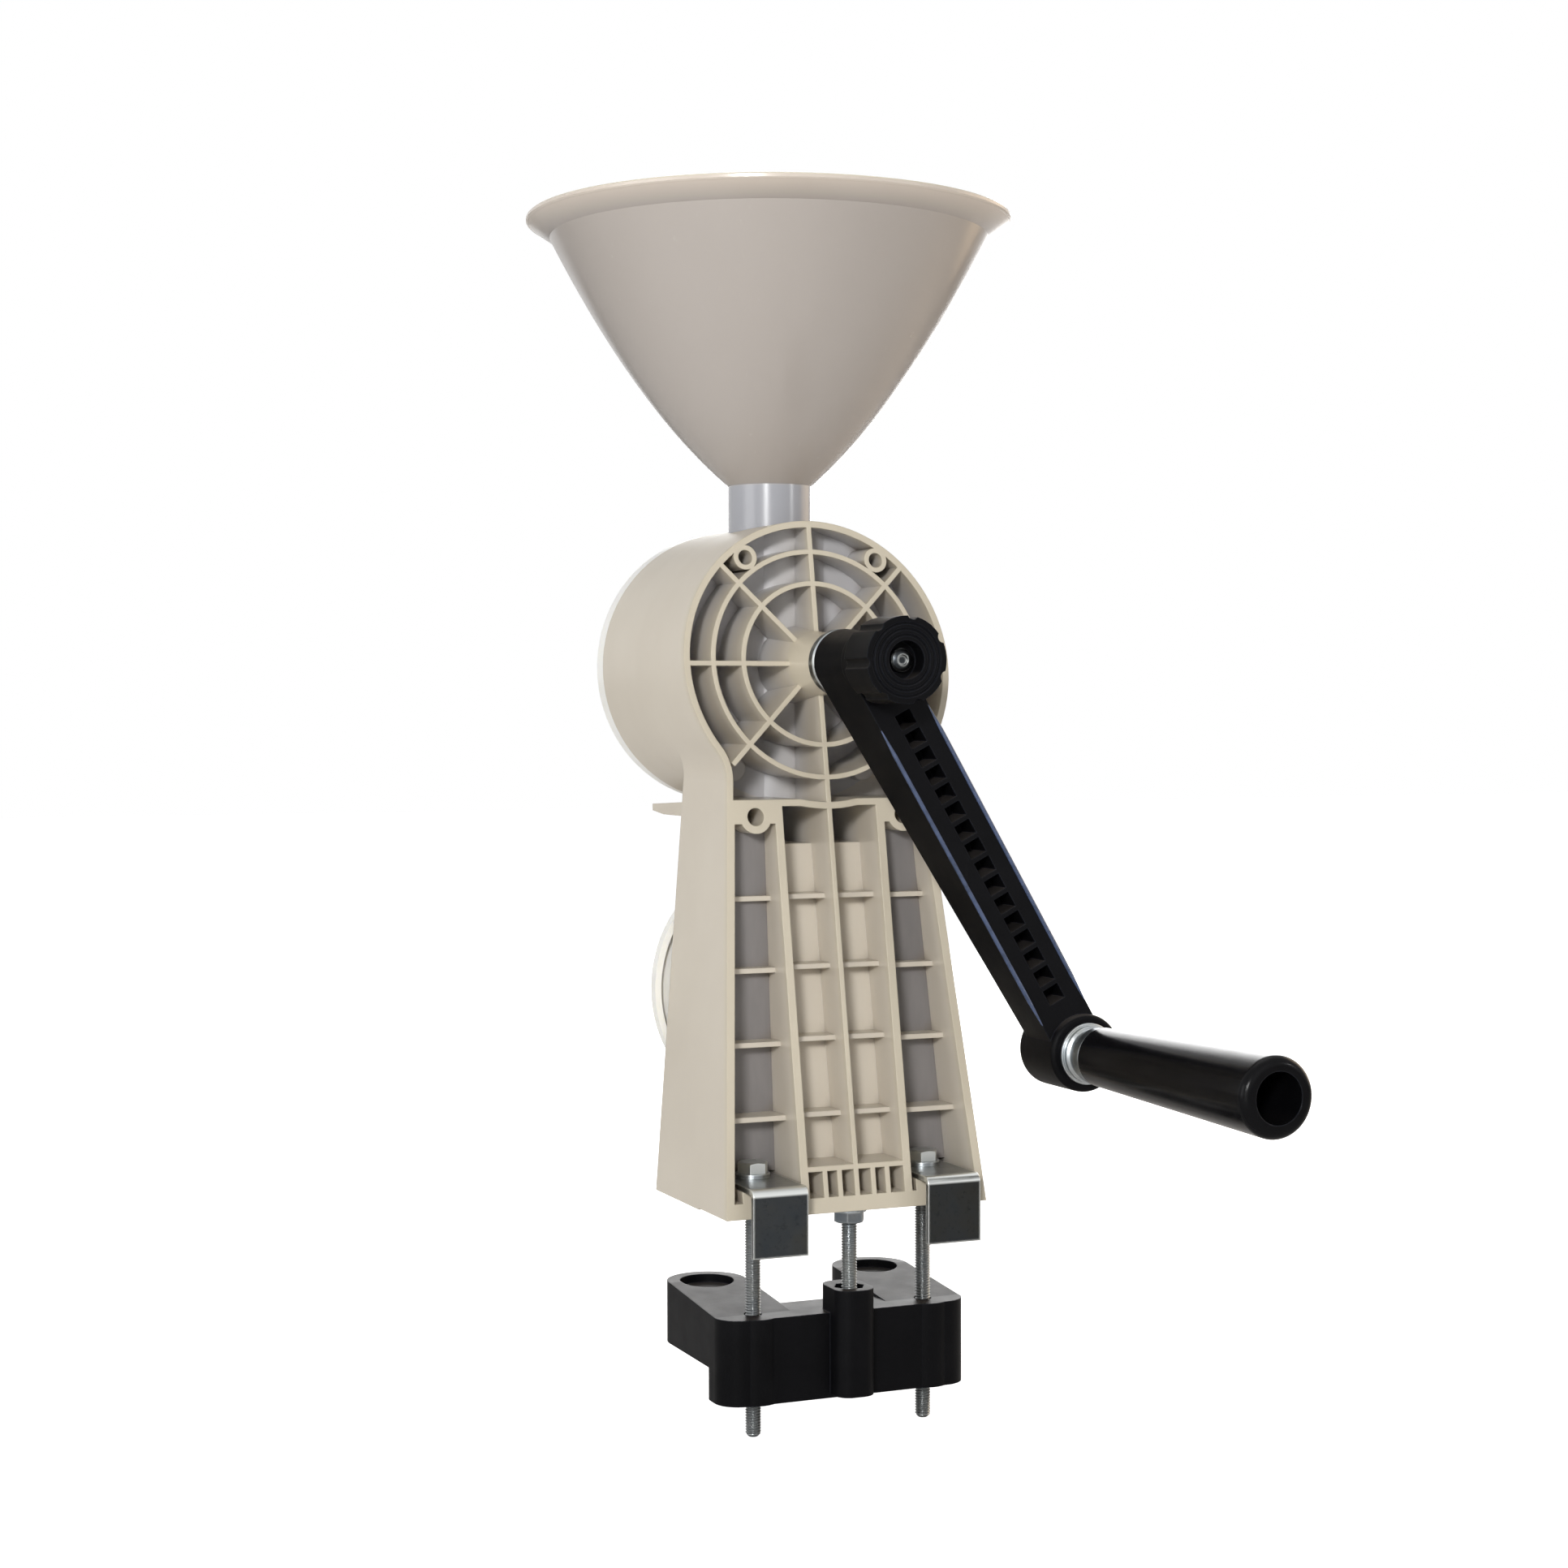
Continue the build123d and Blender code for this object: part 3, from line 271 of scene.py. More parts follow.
def milky_plastic():
    """Off-white plastic of the covers, with light soaking a little way in."""
    material, tree, shader = new_material("milky_plastic")
    tone = ramp(tree, noise(tree, 14.0), [(0.3, MILK_SHADE), (0.7, MILK_LIGHT)])
    tree.links.new(tone, shader.inputs["Base Color"])
    tree.links.new(spread(tree, noise(tree, 90.0), 0.28, 0.42), shader.inputs["Roughness"])
    shader.inputs["Subsurface Weight"].default_value = 0.25
    shader.inputs["Subsurface Radius"].default_value = (0.004, 0.004, 0.003)
    bump(tree, shader, noise(tree, 1500.0, 2.0), 0.00003, 0.3)
    return material


def black_plastic(name, low, high, grain_depth, gloss, top_dust_light):
    """Black plastic: fine moulded grain, rubbed patches, a light dusting on up-facing faces that is partly
    painted light, and a bluish painted highlight along sharp edges.
    """
    material, tree, shader = new_material(name)
    tone = ramp(tree, noise(tree, 35.0, 5.0, 0.65), [(0.35, BLACK_SHADE), (0.75, BLACK_LIGHT)])
    rubbed = ramp(tree, noise(tree, 240.0, 6.0, 0.7, (1, 1, 0.2)), [(0.62, (0, 0, 0)), (0.75, (0.25,) * 3)])
    worn = mix(tree, rubbed, tone, BLACK_WORN)
    # Painted highlight: bluish brighter colour along sharp edges.
    bright = mix(tree, calc(tree, "MULTIPLY", edge_band(tree, 0.0006, 0.985, 0.80), 0.5), worn, BLACK_EDGE_HIGHLIGHT)
    # Up-facing faces turn greyer: partly dust, partly painted light on the tops.
    patches = calc(tree, "MULTIPLY", noise(tree, 70.0, 5.0, 0.6), top_dust_light)
    top_dust_and_light = calc(tree, "MULTIPLY", fade(tree, facing_up(tree), 0.55, 0.95), patches)
    top_greyed = mix(tree, top_dust_and_light, bright, BLACK_DUST_AND_TOP_LIGHT)
    tree.links.new(top_greyed, shader.inputs["Base Color"])
    tree.links.new(spread(tree, noise(tree, 120.0, 4.0), low, high), shader.inputs["Roughness"])
    shader.inputs["Specular IOR Level"].default_value = gloss
    bump(tree, shader, noise(tree, 2200.0, 2.0), grain_depth, 0.5, rounded(tree, 0.0006))
    return material


def zinc_plating(name, shade, edge_amount, highlight_above=None, bend_y=None):
    """Zinc plating with a coloured cast, dulled spots and a painted highlight along sharp edges.

    Faces above the given height get a painted highlight too, most of all at a bend where Y is near bend_y.
    """
    material, tree, shader = new_material(name)
    tones = [tuple(shade * part for part in colour) for colour in (ZINC_BLUE, ZINC_GREY, ZINC_WARM)]
    cast = ramp(tree, noise(tree, 55.0, 3.0, 0.6), list(zip((0.25, 0.5, 0.75), tones)))
    spots = ramp(tree, noise(tree, 420.0, 5.0, 0.7), [(0.55, (0, 0, 0)), (0.72, (0.6,) * 3)])
    dulled = mix(tree, spots, cast, tuple(shade * part for part in ZINC_DULL))
    bright = calc(tree, "MULTIPLY", edge_band(tree, 0.0012, 0.99, 0.85), edge_amount)
    if highlight_above is not None:
        _, y, z = object_place(tree)[:]
        amount = 0.85
        if bend_y is not None:
            amount = spread(tree, fade(tree, y, bend_y + 0.0045, bend_y + 0.0025), 0.28, 0.85)
        upper = fade(tree, z, highlight_above - 0.0008, highlight_above)
        bright = calc(tree, "MAXIMUM", bright, calc(tree, "MULTIPLY", upper, amount))
    # Painted highlight: edges, and faces above the given height, mixed toward bright zinc.
    tree.links.new(mix(tree, bright, dulled, ZINC_EDGE_HIGHLIGHT), shader.inputs["Base Color"])
    shader.inputs["Metallic"].default_value = 1.0
    tree.links.new(spread(tree, noise(tree, 300.0, 4.0), 0.22, 0.42), shader.inputs["Roughness"])
    bump(tree, shader, noise(tree, 900.0, 3.0, 0.6, (1, 1, 0.1)), 0.00004, 0.4, rounded(tree, 0.0004))
    return material


def shaded_cell_plastic():
    """Purple-grey plastic of the foot's inner wall, made darker than the body as painted shade, streaked from
    the mould, with painted shade in its corners.
    """
    material, tree, shader = new_material("shaded_cell_plastic")
    tone = ramp(tree, noise(tree, 60.0, 4.0, 0.6, (1, 1, 0.25)), [(0.3, CELL_SHADE), (0.7, CELL_LIGHT)])
    tree.links.new(shade_corners(tree, tone, 0.006, 0.6), shader.inputs["Base Color"])
    tree.links.new(spread(tree, noise(tree, 80.0), 0.35, 0.5), shader.inputs["Roughness"])
    bump(tree, shader, noise(tree, 300.0, 3.0, 0.5, (1, 1, 0.1)), 0.0001, 0.3)
    return material


def painted_edge_highlight():
    """Bluish black plastic of the crank arm's raised edges, its bluish brightness a painted highlight."""
    material, tree, shader = new_material("painted_edge_highlight")
    tone = ramp(tree, noise(tree, 160.0, 4.0, 0.6), [(0.35, EDGE_HIGHLIGHT_LOW), (0.65, EDGE_HIGHLIGHT_HIGH)])
    tree.links.new(tone, shader.inputs["Base Color"])
    tree.links.new(spread(tree, noise(tree, 400.0), 0.1, 0.25), shader.inputs["Roughness"])
    bump(tree, shader, noise(tree, 1500.0, 2.0), 0.00002, 0.3)
    return material


def plain_metal(name, dark, light, low, high):
    """Machined metal: two tones of noise and fine scratches."""
    material, tree, shader = new_material(name)
    tone = ramp(tree, noise(tree, 80.0, 4.0), [(0.3, dark), (0.7, light)])
    tree.links.new(tone, shader.inputs["Base Color"])
    shader.inputs["Metallic"].default_value = 1.0
    tree.links.new(spread(tree, noise(tree, 200.0, 4.0), low, high), shader.inputs["Roughness"])
    bump(tree, shader, noise(tree, 1200.0, 3.0, 0.5, (1, 0.1, 1)), 0.00003, 0.4)
    return material


# Sizes that the finishes follow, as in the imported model.
AXIS_Z = 0.1945
BACK_SLOPE = 0.179
DRUM_R = 0.0525
FOOT_HALF = 0.0505
FOOT_TAPER = 0.0748
FOOT_FRONT_Y = 0.040

# Pairs between which a finish fades in, in metres.
DRUM_SKIN = (0.0006, 0.0016)
FOOT_SKIN = (0.0008, 0.0020)
FRONT_SKIN = (0.0010, 0.0022)
FOOT_TOP_Z = (0.155, 0.150)
SUNK_DEPTHS = (0.016, 0.046)
DRUM_SUNK_Y = (0.006, 0.024)
EDGE_DEPTHS = (0.0035, 0.0004)
NECK_Z = (0.2628, 0.2618)
BRIM_Z = (0.3555, 0.3605)
CROWN_Z = (0.3590, 0.3605)
# Heights above which zinc gets a painted highlight.
BRACKET_TOP_Z = 0.0098
BOLT_HEAD_Z = 0.0135

# Colours, as linear light.
BODY_SHADE = (0.575, 0.52, 0.435)
BODY_LIGHT = (0.635, 0.58, 0.49)
BODY_CREAM = (0.57, 0.51, 0.395)
# Painted shade for the insides of the cells.
BODY_RECESS_SHADE = (0.50, 0.495, 0.51)
# Painted shade in narrow corners.
CORNER_SHADE = (0.17, 0.13, 0.09)
HOPPER_SHADE = (0.365, 0.328, 0.297)
HOPPER_LIGHT = (0.415, 0.378, 0.346)
HOPPER_SCUFF = (0.52, 0.48, 0.44)
HOPPER_NECK = (0.325, 0.33, 0.355)
# Painted light on the brim.
HOPPER_BRIM_LIT = (0.60, 0.53, 0.46)
# Painted highlight along the rim's top.
HOPPER_CROWN_HIGHLIGHT = (0.72, 0.66, 0.50)
MILK_SHADE = (0.88, 0.87, 0.82)
MILK_LIGHT = (0.93, 0.92, 0.88)
BLACK_SHADE = (0.0025, 0.0025, 0.003)
BLACK_LIGHT = (0.005, 0.005, 0.006)
BLACK_WORN = (0.018, 0.017, 0.016)
# Painted highlight on black plastic edges.
BLACK_EDGE_HIGHLIGHT = (0.03, 0.034, 0.045)
# Dust and painted light on up-facing faces of black plastic.
BLACK_DUST_AND_TOP_LIGHT = (0.07, 0.062, 0.057)
# Painted shade: the foot's inner walls, darker than the body they belong to.
CELL_SHADE = (0.18, 0.17, 0.168)
CELL_LIGHT = (0.24, 0.226, 0.222)
# Painted highlight of the arm's raised edges.
EDGE_HIGHLIGHT_LOW = (0.025, 0.04, 0.085)
EDGE_HIGHLIGHT_HIGH = (0.055, 0.08, 0.16)
ZINC_BLUE = (0.42, 0.50, 0.58)
ZINC_GREY = (0.56, 0.60, 0.63)
ZINC_WARM = (0.58, 0.57, 0.50)
ZINC_DULL = (0.22, 0.25, 0.27)
# Painted highlight on zinc.
ZINC_EDGE_HIGHLIGHT = (0.78, 0.80, 0.78)
STEEL_DARK = (0.35, 0.35, 0.36)
STEEL_LIGHT = (0.55, 0.55, 0.56)
IRON_DARK = (0.12, 0.12, 0.125)
IRON_LIGHT = (0.22, 0.22, 0.225)
BRASS_DARK = (0.48, 0.33, 0.12)
BRASS_LIGHT = (0.66, 0.48, 0.2)

MATERIALS = {
    "body_plastic": moulded_plastic(),
    "hopper_plastic": glossy_hopper(),
    "cover_plastic": milky_plastic(),
    "black_plastic": black_plastic("black_plastic", 0.36, 0.52, 0.00006, 0.06, 1.0),
    "grip_plastic": black_plastic("grip_plastic", 0.14, 0.26, 0.00002, 0.09, 0.06),
    "zinc": zinc_plating("zinc", 0.62, 0.5),
    "shaft_steel": plain_metal("steel", STEEL_DARK, STEEL_LIGHT, 0.25, 0.4),
    "burr_iron": plain_metal("burr_iron", IRON_DARK, IRON_LIGHT, 0.35, 0.55),
    "brass_insert": plain_metal("brass", BRASS_DARK, BRASS_LIGHT, 0.2, 0.35),
}

SHADED_CELL_PLASTIC = shaded_cell_plastic()
EDGE_HIGHLIGHT_FINISH = painted_edge_highlight()

# Nodes whose zinc is darker than the rest. On the brackets and the clamp bolts' rods the darkness is painted
# shade standing in for dark reflections, and on the drive shaft it is painted shade in the knob's recess; the
# brackets' bright tops and the bolts' bright heads are painted highlights.
DARK_NODES = {
    "bracket_left": zinc_plating("zinc_plate_painted_light", 0.10, 1.0, BRACKET_TOP_Z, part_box("bracket_left")[0][1]),
    "bracket_right": zinc_plating(
        "zinc_plate_right_painted_light", 0.07, 1.0, BRACKET_TOP_Z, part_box("bracket_right")[0][1]
    ),
    "clamp_bolt_left": zinc_plating("zinc_rod_painted_light", 0.19, 0.3, BOLT_HEAD_Z),
    "clamp_bolt_right": zinc_plating("zinc_rod_right_painted_light", 0.16, 0.3, BOLT_HEAD_Z),
    "heel_screw": zinc_plating("dark_zinc_heel", 0.32, 0.3),
    "drive_shaft": zinc_plating("zinc_shaft_painted_shade", 0.06, 0.6),
}


def finish_of(node):
    """Finish of a CAD node: its own where it has one, else that of its material slot."""
    slots = {row["node"]: row["material_slot"] for row in frame["record"]["subparts"]}
    return DARK_NODES.get(node) or MATERIALS[slots[node]]


def finish_cad_nodes():
    for row in frame["record"]["subparts"]:
        node = nodes[row["node"]]
        node.data.materials.clear()
        node.data.materials.append(finish_of(row["node"]))


# ---------------------------------------------------------------- pieces

SHARP_ANGLE = math.radians(32)
THREAD_PITCH = 0.001
THREAD_DEPTH = 0.0006
THREAD_ROWS = 6
THREAD_SIDES = 20
HEAD_HEIGHT = 0.004
HEAD_CHAMFER = 0.5
HEAD_SIDES = 48
HEAD_RIM = 0.94
DISH_EDGE = 0.66
DISH_FLOOR = 0.5
DISH_DEPTH = 0.0004
RING_SIDES = 72


def new_piece(name, shape, body, slot, material, *replaced):
    """Turn a bmesh into a piece that rides on a body, smooth except over its sharp edges."""
    bmesh.ops.remove_doubles(shape, verts=shape.verts, dist=1e-7)
    bmesh.ops.recalc_face_normals(shape, faces=shape.faces)
    mesh = bpy.data.meshes.new(name)
    shape.to_mesh(mesh)
    shape.free()
    mesh.shade_smooth()
    mesh.set_sharp_from_angle(angle=SHARP_ANGLE)
    mesh.materials.append(material)
    piece = bpy.data.objects.new(name, mesh)
    bpy.context.scene.collection.objects.link(piece)
    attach(piece, body)
    if replaced:
        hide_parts(*replaced)
    return piece


def skin(shape, rings, closed_ends=True, closed_loop=False):
    """Join rings of points, each as long as the next, with faces."""
    made = [[shape.verts.new(point) for point in ring] for ring in rings]
    pairs = list(zip(made, made[1:]))
    if closed_loop:
        pairs.append((made[-1], made[0]))
    for first, second in pairs:
        count = len(first)
        for i in range(count):
            j = (i + 1) % count
            shape.faces.new((first[i], first[j], second[j], second[i]))
    if closed_ends and not closed_loop:
        shape.faces.new(made[0][::-1])
        shape.faces.new(made[-1])


def circle(centre, radius, height, sides, upright=True):
    """Points of a circle round centre: level at a height, or standing at a distance along Y."""
    turns = [2 * math.pi * i / sides for i in range(sides)]
    if upright:
        return [(centre[0] + radius * math.cos(t), centre[1] + radius * math.sin(t), height) for t in turns]
    return [(centre[0] + radius * math.cos(t), height, centre[1] + radius * math.sin(t)) for t in turns]


def turned_ring(name, centre, profile, body, slot, material, *replaced):
    """Closed profile of (radius, y) turned about the line along Y through centre, given as X and Z."""
    shape = bmesh.new()
    rings = [circle(centre, radius, y, RING_SIDES, upright=False) for radius, y in profile]
    skin(shape, rings, closed_loop=True)
    return new_piece(name, shape, body, slot, material, *replaced)


def thread(shape, centre, low, high, radius):
    """Right-handed thread from low to high, with a chamfered lower end."""
    rows = round((high - low) / THREAD_PITCH * THREAD_ROWS)
    rings = []
    for row in range(rows + 1):
        z = low + (high - low) * row / rows
        ring = []
        for i in range(THREAD_SIDES):
            turn = i / THREAD_SIDES
            ridge = abs(2 * ((z / THREAD_PITCH - turn) % 1.0) - 1)
            reach = min(radius - THREAD_DEPTH * ridge, radius - 2 * THREAD_DEPTH + (z - low))
            angle = 2 * math.pi * turn
            ring.append((centre[0] + reach * math.cos(angle), centre[1] + reach * math.sin(angle), z))
        rings.append(ring)
    skin(shape, rings)


def hexagon_reach(angle, half_flat):
    """Distance from a hexagon's middle to its outline, with a corner at angle 0."""
    return half_flat / math.cos((angle % (math.pi / 3)) - math.pi / 6)


def bolt_head(shape, centre, low, high, half_flat, crown):
    """Hexagon head whose crown side, 1 above or -1 below, is chamfered and slightly dished."""
    turns = [2 * math.pi * i / HEAD_SIDES for i in range(HEAD_SIDES)]
    flat_end, crown_end = (low, high) if crown > 0 else (high, low)
    rim = half_flat * HEAD_RIM

    def outline(reach_of, height_of):
        return [
            (centre[0] + reach_of(t) * math.cos(t), centre[1] + reach_of(t) * math.sin(t), height_of(t))
            for t in turns
        ]

    def side(t):
        return hexagon_reach(t, half_flat)

    skin(shape, [
        outline(side, lambda t: flat_end),
        outline(side, lambda t: crown_end - crown * (side(t) - rim) * HEAD_CHAMFER),
        outline(lambda t: rim, lambda t: crown_end),
        outline(lambda t: rim * DISH_EDGE, lambda t: crown_end),
        outline(lambda t: rim * DISH_FLOOR, lambda t: crown_end - crown * DISH_DEPTH),
    ])


def make_clamp_bolts():
    """Threaded clamp bolts with chamfered heads."""
    for side in ("left", "right"):
        node = "clamp_bolt_" + side
        low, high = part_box(node)
        centre = ((low[0] + high[0]) / 2, (low[1] + high[1]) / 2)
        shape = bmesh.new()
        thread(shape, centre, low[2], high[2] - HEAD_HEIGHT / 2, BOLT_R)
        bolt_head(shape, centre, high[2] - HEAD_HEIGHT, high[2], (high[1] - low[1]) / 2, 1)
        new_piece("threaded_bolt_" + side, shape, node, "zinc", finish_of(node), node)


def make_heel_screw():
    """Heel screw: thread below, chamfered head that bears up on the foot, and its pilot above."""
    low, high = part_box("heel_screw")
    centre = ((low[0] + high[0]) / 2, (low[1] + high[1]) / 2)
    head_low, head_high = HEEL_HEAD
    shape = bmesh.new()
    thread(shape, centre, low[2], (head_low + head_high) / 2, BOLT_R)
    bolt_head(shape, centre, head_low, head_high, (high[1] - low[1]) / 2, -1)
    pilot = [(HEEL_PILOT_R, head_high - PILOT_CHAMFER), (HEEL_PILOT_R, high[2] - PILOT_CHAMFER)]
    pilot += [(HEEL_PILOT_R * 0.8, high[2])]
    skin(shape, [circle(centre, radius, height, THREAD_SIDES) for radius, height in pilot])
    new_piece("threaded_heel_screw", shape, "heel_screw", "zinc", finish_of("heel_screw"), "heel_screw")


def make_hub_washer():
    """Wide chamfered washer between the bearing boss and the crank arm's eye."""
    low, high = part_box("hub_washer")
    near, far = low[1], high[1]
    reach, inner, cut = HUB_WASHER_R, SHAFT_R, HUB_WASHER_CHAMFER
    profile = [(inner, near), (reach - cut, near), (reach, near + cut)]
    profile += [(reach, far - cut), (reach - cut, far), (inner, far)]
    turned_ring("turned_hub_washer", (0, AXIS_Z), profile, "crank", "zinc", MATERIALS["zinc"], "hub_washer")


def make_ferrule():
    """Flanged ferrule at the grip's root, with a groove turned round its barrel."""
    low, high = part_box("handle_washer")
    centre = ((low[0] + high[0]) / 2, (low[2] + high[2]) / 2)
    flange = (high[0] - low[0]) / 2
    barrel, groove = flange - BARREL_INSET, flange - GROOVE_INSET
    end, back = low[1], high[1]
    edge = back - FLANGE_T
    cut, tip = FLANGE_CHAMFER, FERRULE_CHAMFER
    profile = [(FERRULE_BORE, back), (flange - cut, back), (flange, back - cut)]
    profile += [(flange, edge + cut), (flange - cut, edge), (barrel, edge)]
    profile += zip((barrel, groove, groove, barrel), (edge - along for along in GROOVE_PLACES))
    profile += [(barrel, end + tip), (barrel - tip, end), (FERRULE_BORE, end)]
    turned_ring("turned_ferrule", centre, profile, "crank", "zinc", MATERIALS["zinc"], "handle_washer")


def make_rim_bead():
    """Bead rolled round the hopper's outer edge."""
    low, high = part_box("hopper")
    reach = (high[0] - low[0]) / 2 - RIM_BEAD_R
    centre = ((low[0] + high[0]) / 2, (low[1] + high[1]) / 2)
    height = high[2] - RIM_BEAD_R - RIM_BEAD_DROP
    shape = bmesh.new()
    turns = [2 * math.pi * i / BEAD_SIDES for i in range(BEAD_SIDES)]
    rings = [
        circle(centre, reach + RIM_BEAD_R * math.cos(t), height + RIM_BEAD_R * math.sin(t), 2 * RING_SIDES)
        for t in turns
    ]
    skin(shape, rings, closed_loop=True)
    new_piece("rolled_rim", shape, "hopper", "hopper_plastic", MATERIALS["hopper_plastic"])


def arm_point(along, across, y):
    """Place on the crank arm: along it from the shaft, across it, and on Y."""
    turn = math.radians(CRANK_ANGLE)
    x = along * math.sin(turn) + across * math.cos(turn)
    z = AXIS_Z - along * math.cos(turn) + across * math.sin(turn)
    return Vector((x, y, z))


def make_arm_bead():
    """Narrow raised edges along both sides of the arm's front."""
    for side, name in ((-1, "arm_bead_left"), (1, "arm_bead_right")):
        shape = bmesh.new()
        rings = []
        for step in range(ARM_BEAD_STEPS + 1):
            share = step / ARM_BEAD_STEPS
            along = ARM_BEAD_START + (ARM_BEAD_END - ARM_BEAD_START) * share
            whole = along / ARM_LENGTH
            half = ARM_HALF + (ARM_TIP_HALF - ARM_HALF) * whole - ARM_BEAD_INSET
            front = ARM_FRONT_Y - ARM_LEAN * whole + ARM_BEAD_INSET
            swell = ARM_BEAD_R * min(1.0, 0.3 + 8 * share, 0.3 + 8 * (1 - share))
            turns = [2 * math.pi * i / BEAD_SIDES for i in range(BEAD_SIDES)]
            rings.append([
                arm_point(along, side * half + swell * math.cos(t), front + swell * math.sin(t))
                for t in turns
            ])
        skin(shape, rings)
        new_piece(name, shape, "crank", "black_plastic", EDGE_HIGHLIGHT_FINISH)


def make_shaft_tip():
    """Domed end of the drive shaft, at the bottom of the knob's recess."""
    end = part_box("drive_shaft")[0][1]
    dome = [(SHAFT_THREAD_R - inset, end - past) for inset, past in TIP_PROFILE]
    shape = bmesh.new()
    skin(shape, [circle((0, AXIS_Z), radius, y, 2 * THREAD_SIDES, upright=False) for radius, y in dome])
    new_piece("domed_shaft_tip", shape, "crank", "zinc", finish_of("drive_shaft"))


def make_cell_walls():
    """Inner walls that close the foot's side cells part of the way in."""
    for side, name in ((-1, "cell_wall_left"), (1, "cell_wall_right")):
        shape = bmesh.new()
        rings = []
        for height, y in ((CELL_LOW_Z, CELL_LOW_Y), (CELL_HIGH_Z, CELL_HIGH_Y)):
            outer = FOOT_HALF - FOOT_TAPER * height - FOOT_WALL / 2
            back = y + CELL_WALL_T
            corners = ((CELL_INNER_X, y), (outer, y), (outer, back), (CELL_INNER_X, back))
            rings.append([(side * x, place, height) for x, place in corners])
        skin(shape, rings)
        new_piece(name, shape, "root", "body_plastic", SHADED_CELL_PLASTIC)


BOLT_R = 0.0029
HEEL_HEAD = (-0.0049, -0.0009)
HEEL_PILOT_R = 0.0025
PILOT_CHAMFER = 0.0005
SHAFT_R = 0.00505
SHAFT_THREAD_R = 0.004
HUB_WASHER_R = 0.0120
HUB_WASHER_CHAMFER = 0.0006
FLANGE_T = 0.0016
FLANGE_CHAMFER = 0.0003
FERRULE_BORE = 0.0042
FERRULE_CHAMFER = 0.0005
BARREL_INSET = 0.0009
GROOVE_INSET = 0.0019
GROOVE_PLACES = (0.0016, 0.0022, 0.0054, 0.0060)
# Inset from the thread's radius, and distance past the shaft's end.
TIP_PROFILE = ((0.0001, -0.002), (0.0001, 0.0002), (0.0006, 0.0007), (0.0022, 0.0011), (0.0024, 0.0002))
RIM_BEAD_R = 0.0012
RIM_BEAD_DROP = 0.0009
BEAD_SIDES = 12
CRANK_ANGLE = 27.0
ARM_LENGTH = 0.1541
ARM_HALF = 0.0104
ARM_TIP_HALF = 0.0094
ARM_FRONT_Y = -0.048
ARM_LEAN = 0.0245
ARM_BEAD_R = 0.0008
ARM_BEAD_INSET = 0.0002
ARM_BEAD_START = 0.022
ARM_BEAD_END = 0.138
ARM_BEAD_STEPS = 24
FOOT_WALL = 0.003
CELL_INNER_X = 0.0205
CELL_LOW_Z = 0.0124
CELL_LOW_Y = -0.009
CELL_HIGH_Z = 0.1375
CELL_HIGH_Y = 0.0005
CELL_WALL_T = 0.0015


def make_pieces():
    make_clamp_bolts()
    make_heel_screw()
    make_hub_washer()
    make_ferrule()
    make_rim_bead()
    make_arm_bead()
    make_shaft_tip()
    make_cell_walls()


# ---------------------------------------------------------------- stage, lights and camera


def make_camera():
    """Camera at the photograph's place and angle."""
    turn, dip, roll = CAMERA_TURN, CAMERA_DIP, CAMERA_ROLL
    right = Vector((math.cos(turn), -math.sin(turn), 0))
    ahead = Vector((math.sin(turn) * math.cos(dip), math.cos(turn) * math.cos(dip), -math.sin(dip)))
    up = right.cross(ahead)
    rolled_right = right * math.cos(roll) + up * math.sin(roll)
    rolled_up = up * math.cos(roll) - right * math.sin(roll)
    data = bpy.data.cameras.new("camera")
    data.sensor_width = SENSOR_MM
    data.lens = LENS_MM
    camera = bpy.data.objects.new("camera", data)
    bpy.context.scene.collection.objects.link(camera)
    columns = (rolled_right, rolled_up, -ahead)
    turned = Matrix([[column[i] for column in columns] for i in range(3)]).to_4x4()
    camera.matrix_world = Matrix.Translation(CAMERA_PLACE) @ turned
    bpy.context.scene.camera = camera


def area_light(name, place, target, size, watts, colour=(1.0, 1.0, 1.0)):
    """Square soft light at place, facing target."""
    data = bpy.data.lights.new(name, "AREA")
    data.size = size
    data.energy = watts
    data.color = colour
    light = bpy.data.objects.new(name, data)
    bpy.context.scene.collection.objects.link(light)
    light.location = place
    light.rotation_euler = (Vector(target) - Vector(place)).to_track_quat("-Z", "Y").to_euler()
    light.visible_camera = False


def seen_by(tree, *rays):
    """1 for the named kinds of ray, else 0."""
    path = tree.nodes.new("ShaderNodeLightPath")
    total = path.outputs[rays[0]]
    for ray in rays[1:]:
        total = calc(tree, "MAXIMUM", total, path.outputs[ray])
    return total


def backdrop_world():
    """White behind the object and in what it mirrors; a plain soft level for the light that it gives."""
    world = bpy.data.worlds.new("world")
    bpy.context.scene.world = world
    world.use_nodes = True
    tree = world.node_tree
    background = tree.nodes["Background"]
    background.inputs["Color"].default_value = (1, 1, 1, 1)
    shown = seen_by(tree, "Is Camera Ray", "Is Glossy Ray", "Is Transmission Ray")
    level = calc(tree, "MULTIPLY_ADD", shown, 1 - ROOM_LIGHT, ROOM_LIGHT)
    tree.links.new(level, background.inputs["Strength"])


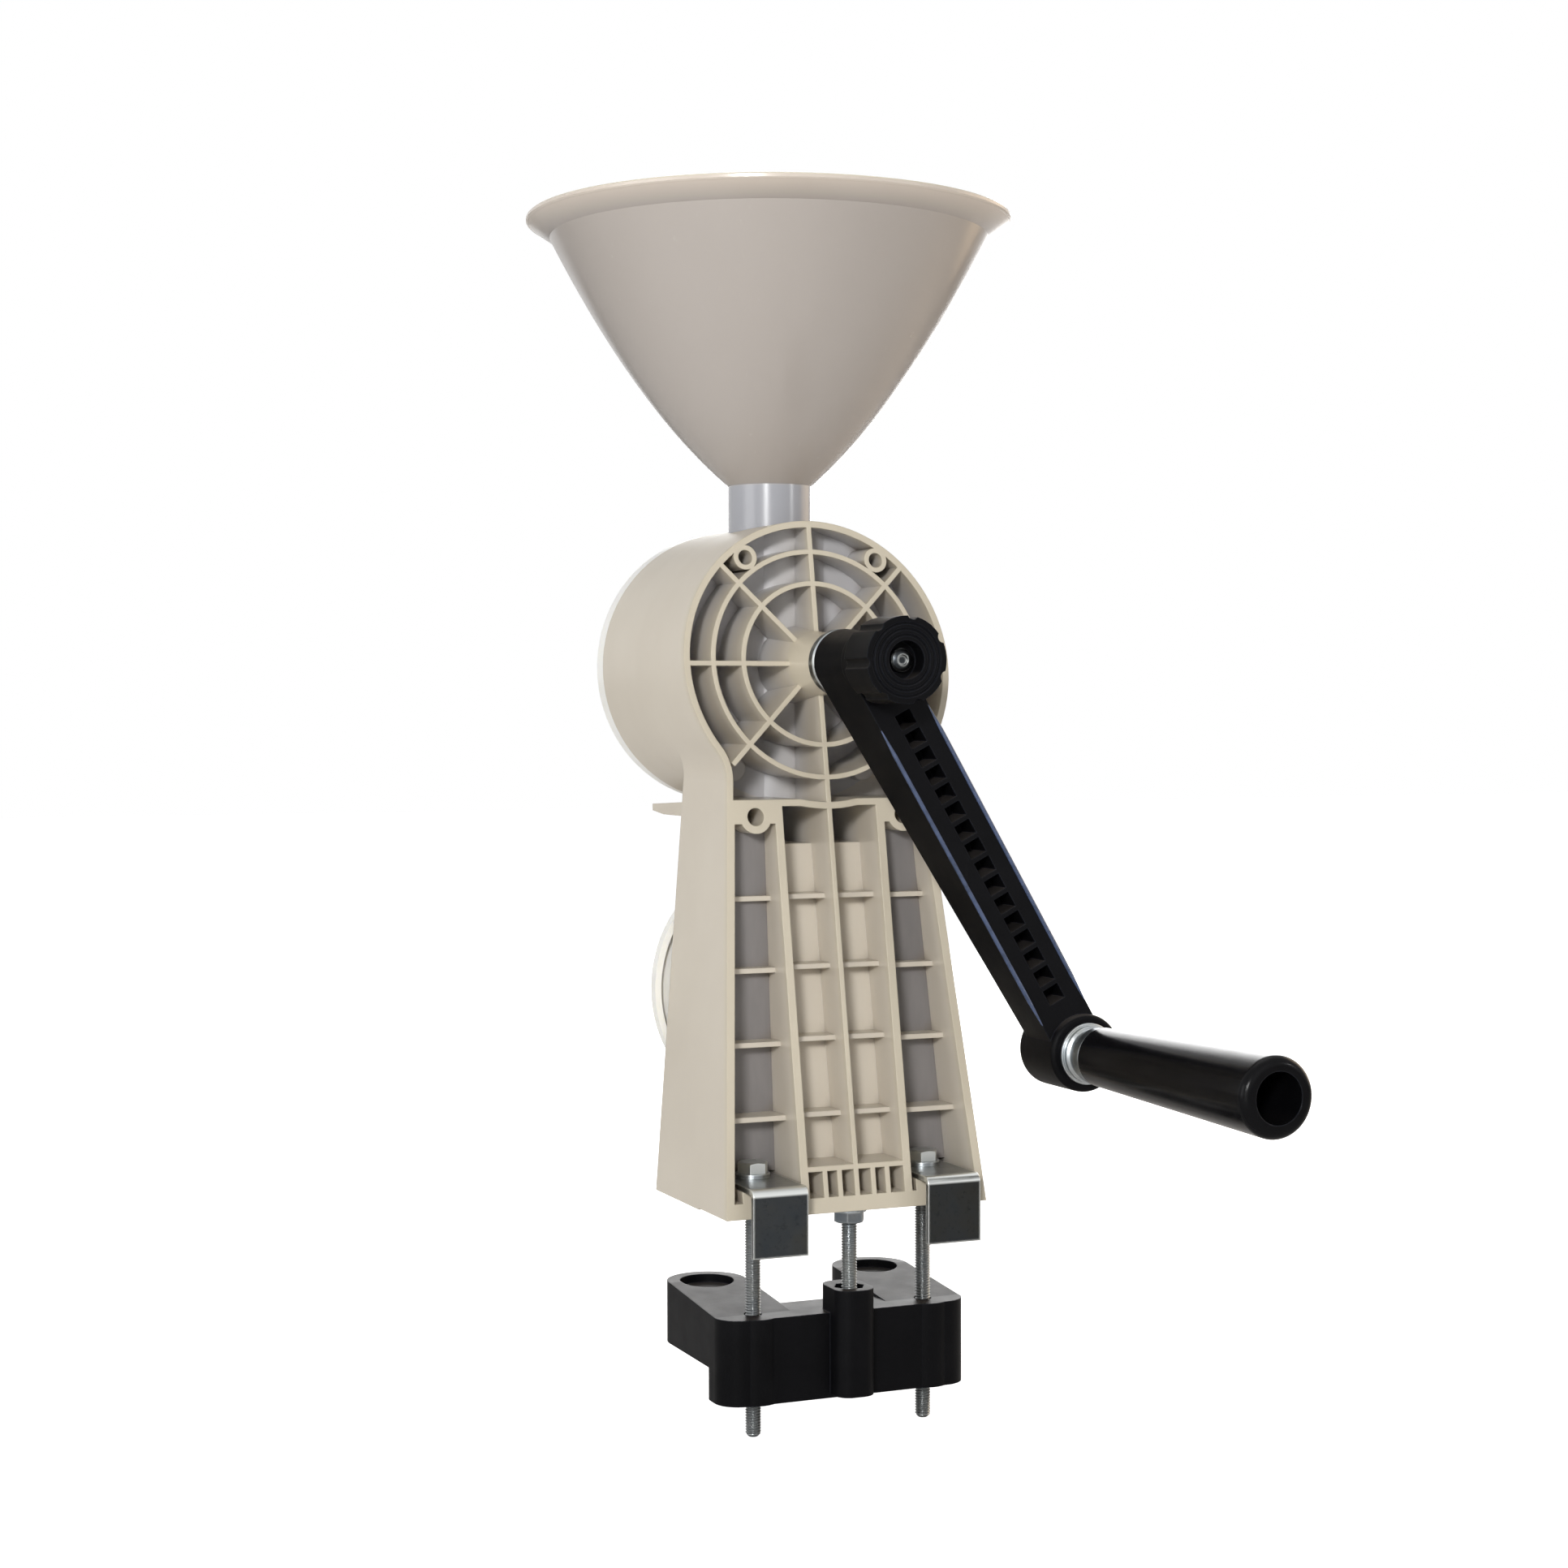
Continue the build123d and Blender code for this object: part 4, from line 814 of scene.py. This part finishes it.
def make_floor():
    """Pale floor just under the clamp bolts' ends."""
    lowest = cad_box[0].z - FLOOR_GAP
    bpy.ops.mesh.primitive_plane_add(size=FLOOR_SIZE, location=(0, 0, lowest))
    floor = bpy.context.object
    floor.name = "floor"
    material, tree, shader = new_material("floor")
    tone = ramp(tree, noise(tree, 2.0), [(0.3, (0.86,) * 3), (0.7, (0.9,) * 3)])
    tree.links.new(tone, shader.inputs["Base Color"])
    shader.inputs["Roughness"].default_value = 0.9
    shader.inputs["Specular IOR Level"].default_value = 0.1
    glow = add(tree, "ShaderNodeEmission", Color=(1, 1, 1, 1))
    whiteness = calc(tree, "MULTIPLY", seen_by(tree, "Is Camera Ray"), FLOOR_WHITENESS)
    tree.links.new(whiteness, glow.inputs["Strength"])
    total = tree.nodes.new("ShaderNodeAddShader")
    tree.links.new(shader.outputs[0], total.inputs[0])
    tree.links.new(glow.outputs[0], total.inputs[1])
    tree.links.new(total.outputs[0], tree.nodes["Material Output"].inputs["Surface"])
    floor.data.materials.append(material)


def make_stage():
    make_camera()
    backdrop_world()
    make_floor()
    for lamp in LAMPS:
        area_light(*lamp)
    bpy.context.scene.view_settings.view_transform = "Standard"


ROOM_LIGHT = 0.17
FLOOR_WHITENESS = 0.9
FLOOR_SIZE = 12.0
FLOOR_GAP = 0.0005

# Name, place, target, size, watts and, where it isn't white, colour.
LAMPS = (
    ("key", (-0.98, -1.5, 0.62), (0, 0, 0.15), 0.25, 20.5),
    ("side", (-1.9, -0.25, 0.5), (0, 0, 0.15), 1.0, 8.5),
    ("front", (0.2, -1.9, 0.8), (0, 0, 0.12), 1.0, 1.5),
    ("low_fill", (-0.7, -1.1, -0.02), (0, 0, 0.30), 0.6, 1.6),
    ("warm_side", (1.3, 0.2, 0.5), (0, 0, 0.2), 0.9, 5.0, (1.0, 0.74, 0.46)),
    ("strip", (1.1, -1.2, 0.45), (0, 0, 0.30), 0.12, 1.6),
    ("rear", (0.9, 1.6, 0.6), (0, 0, 0.15), 1.0, 12.0),
    ("top", (0.1, 0.2, 1.9), (0, 0, 0.2), 1.2, 5.0),
)

make_stage()
finish_cad_nodes()
make_pieces()
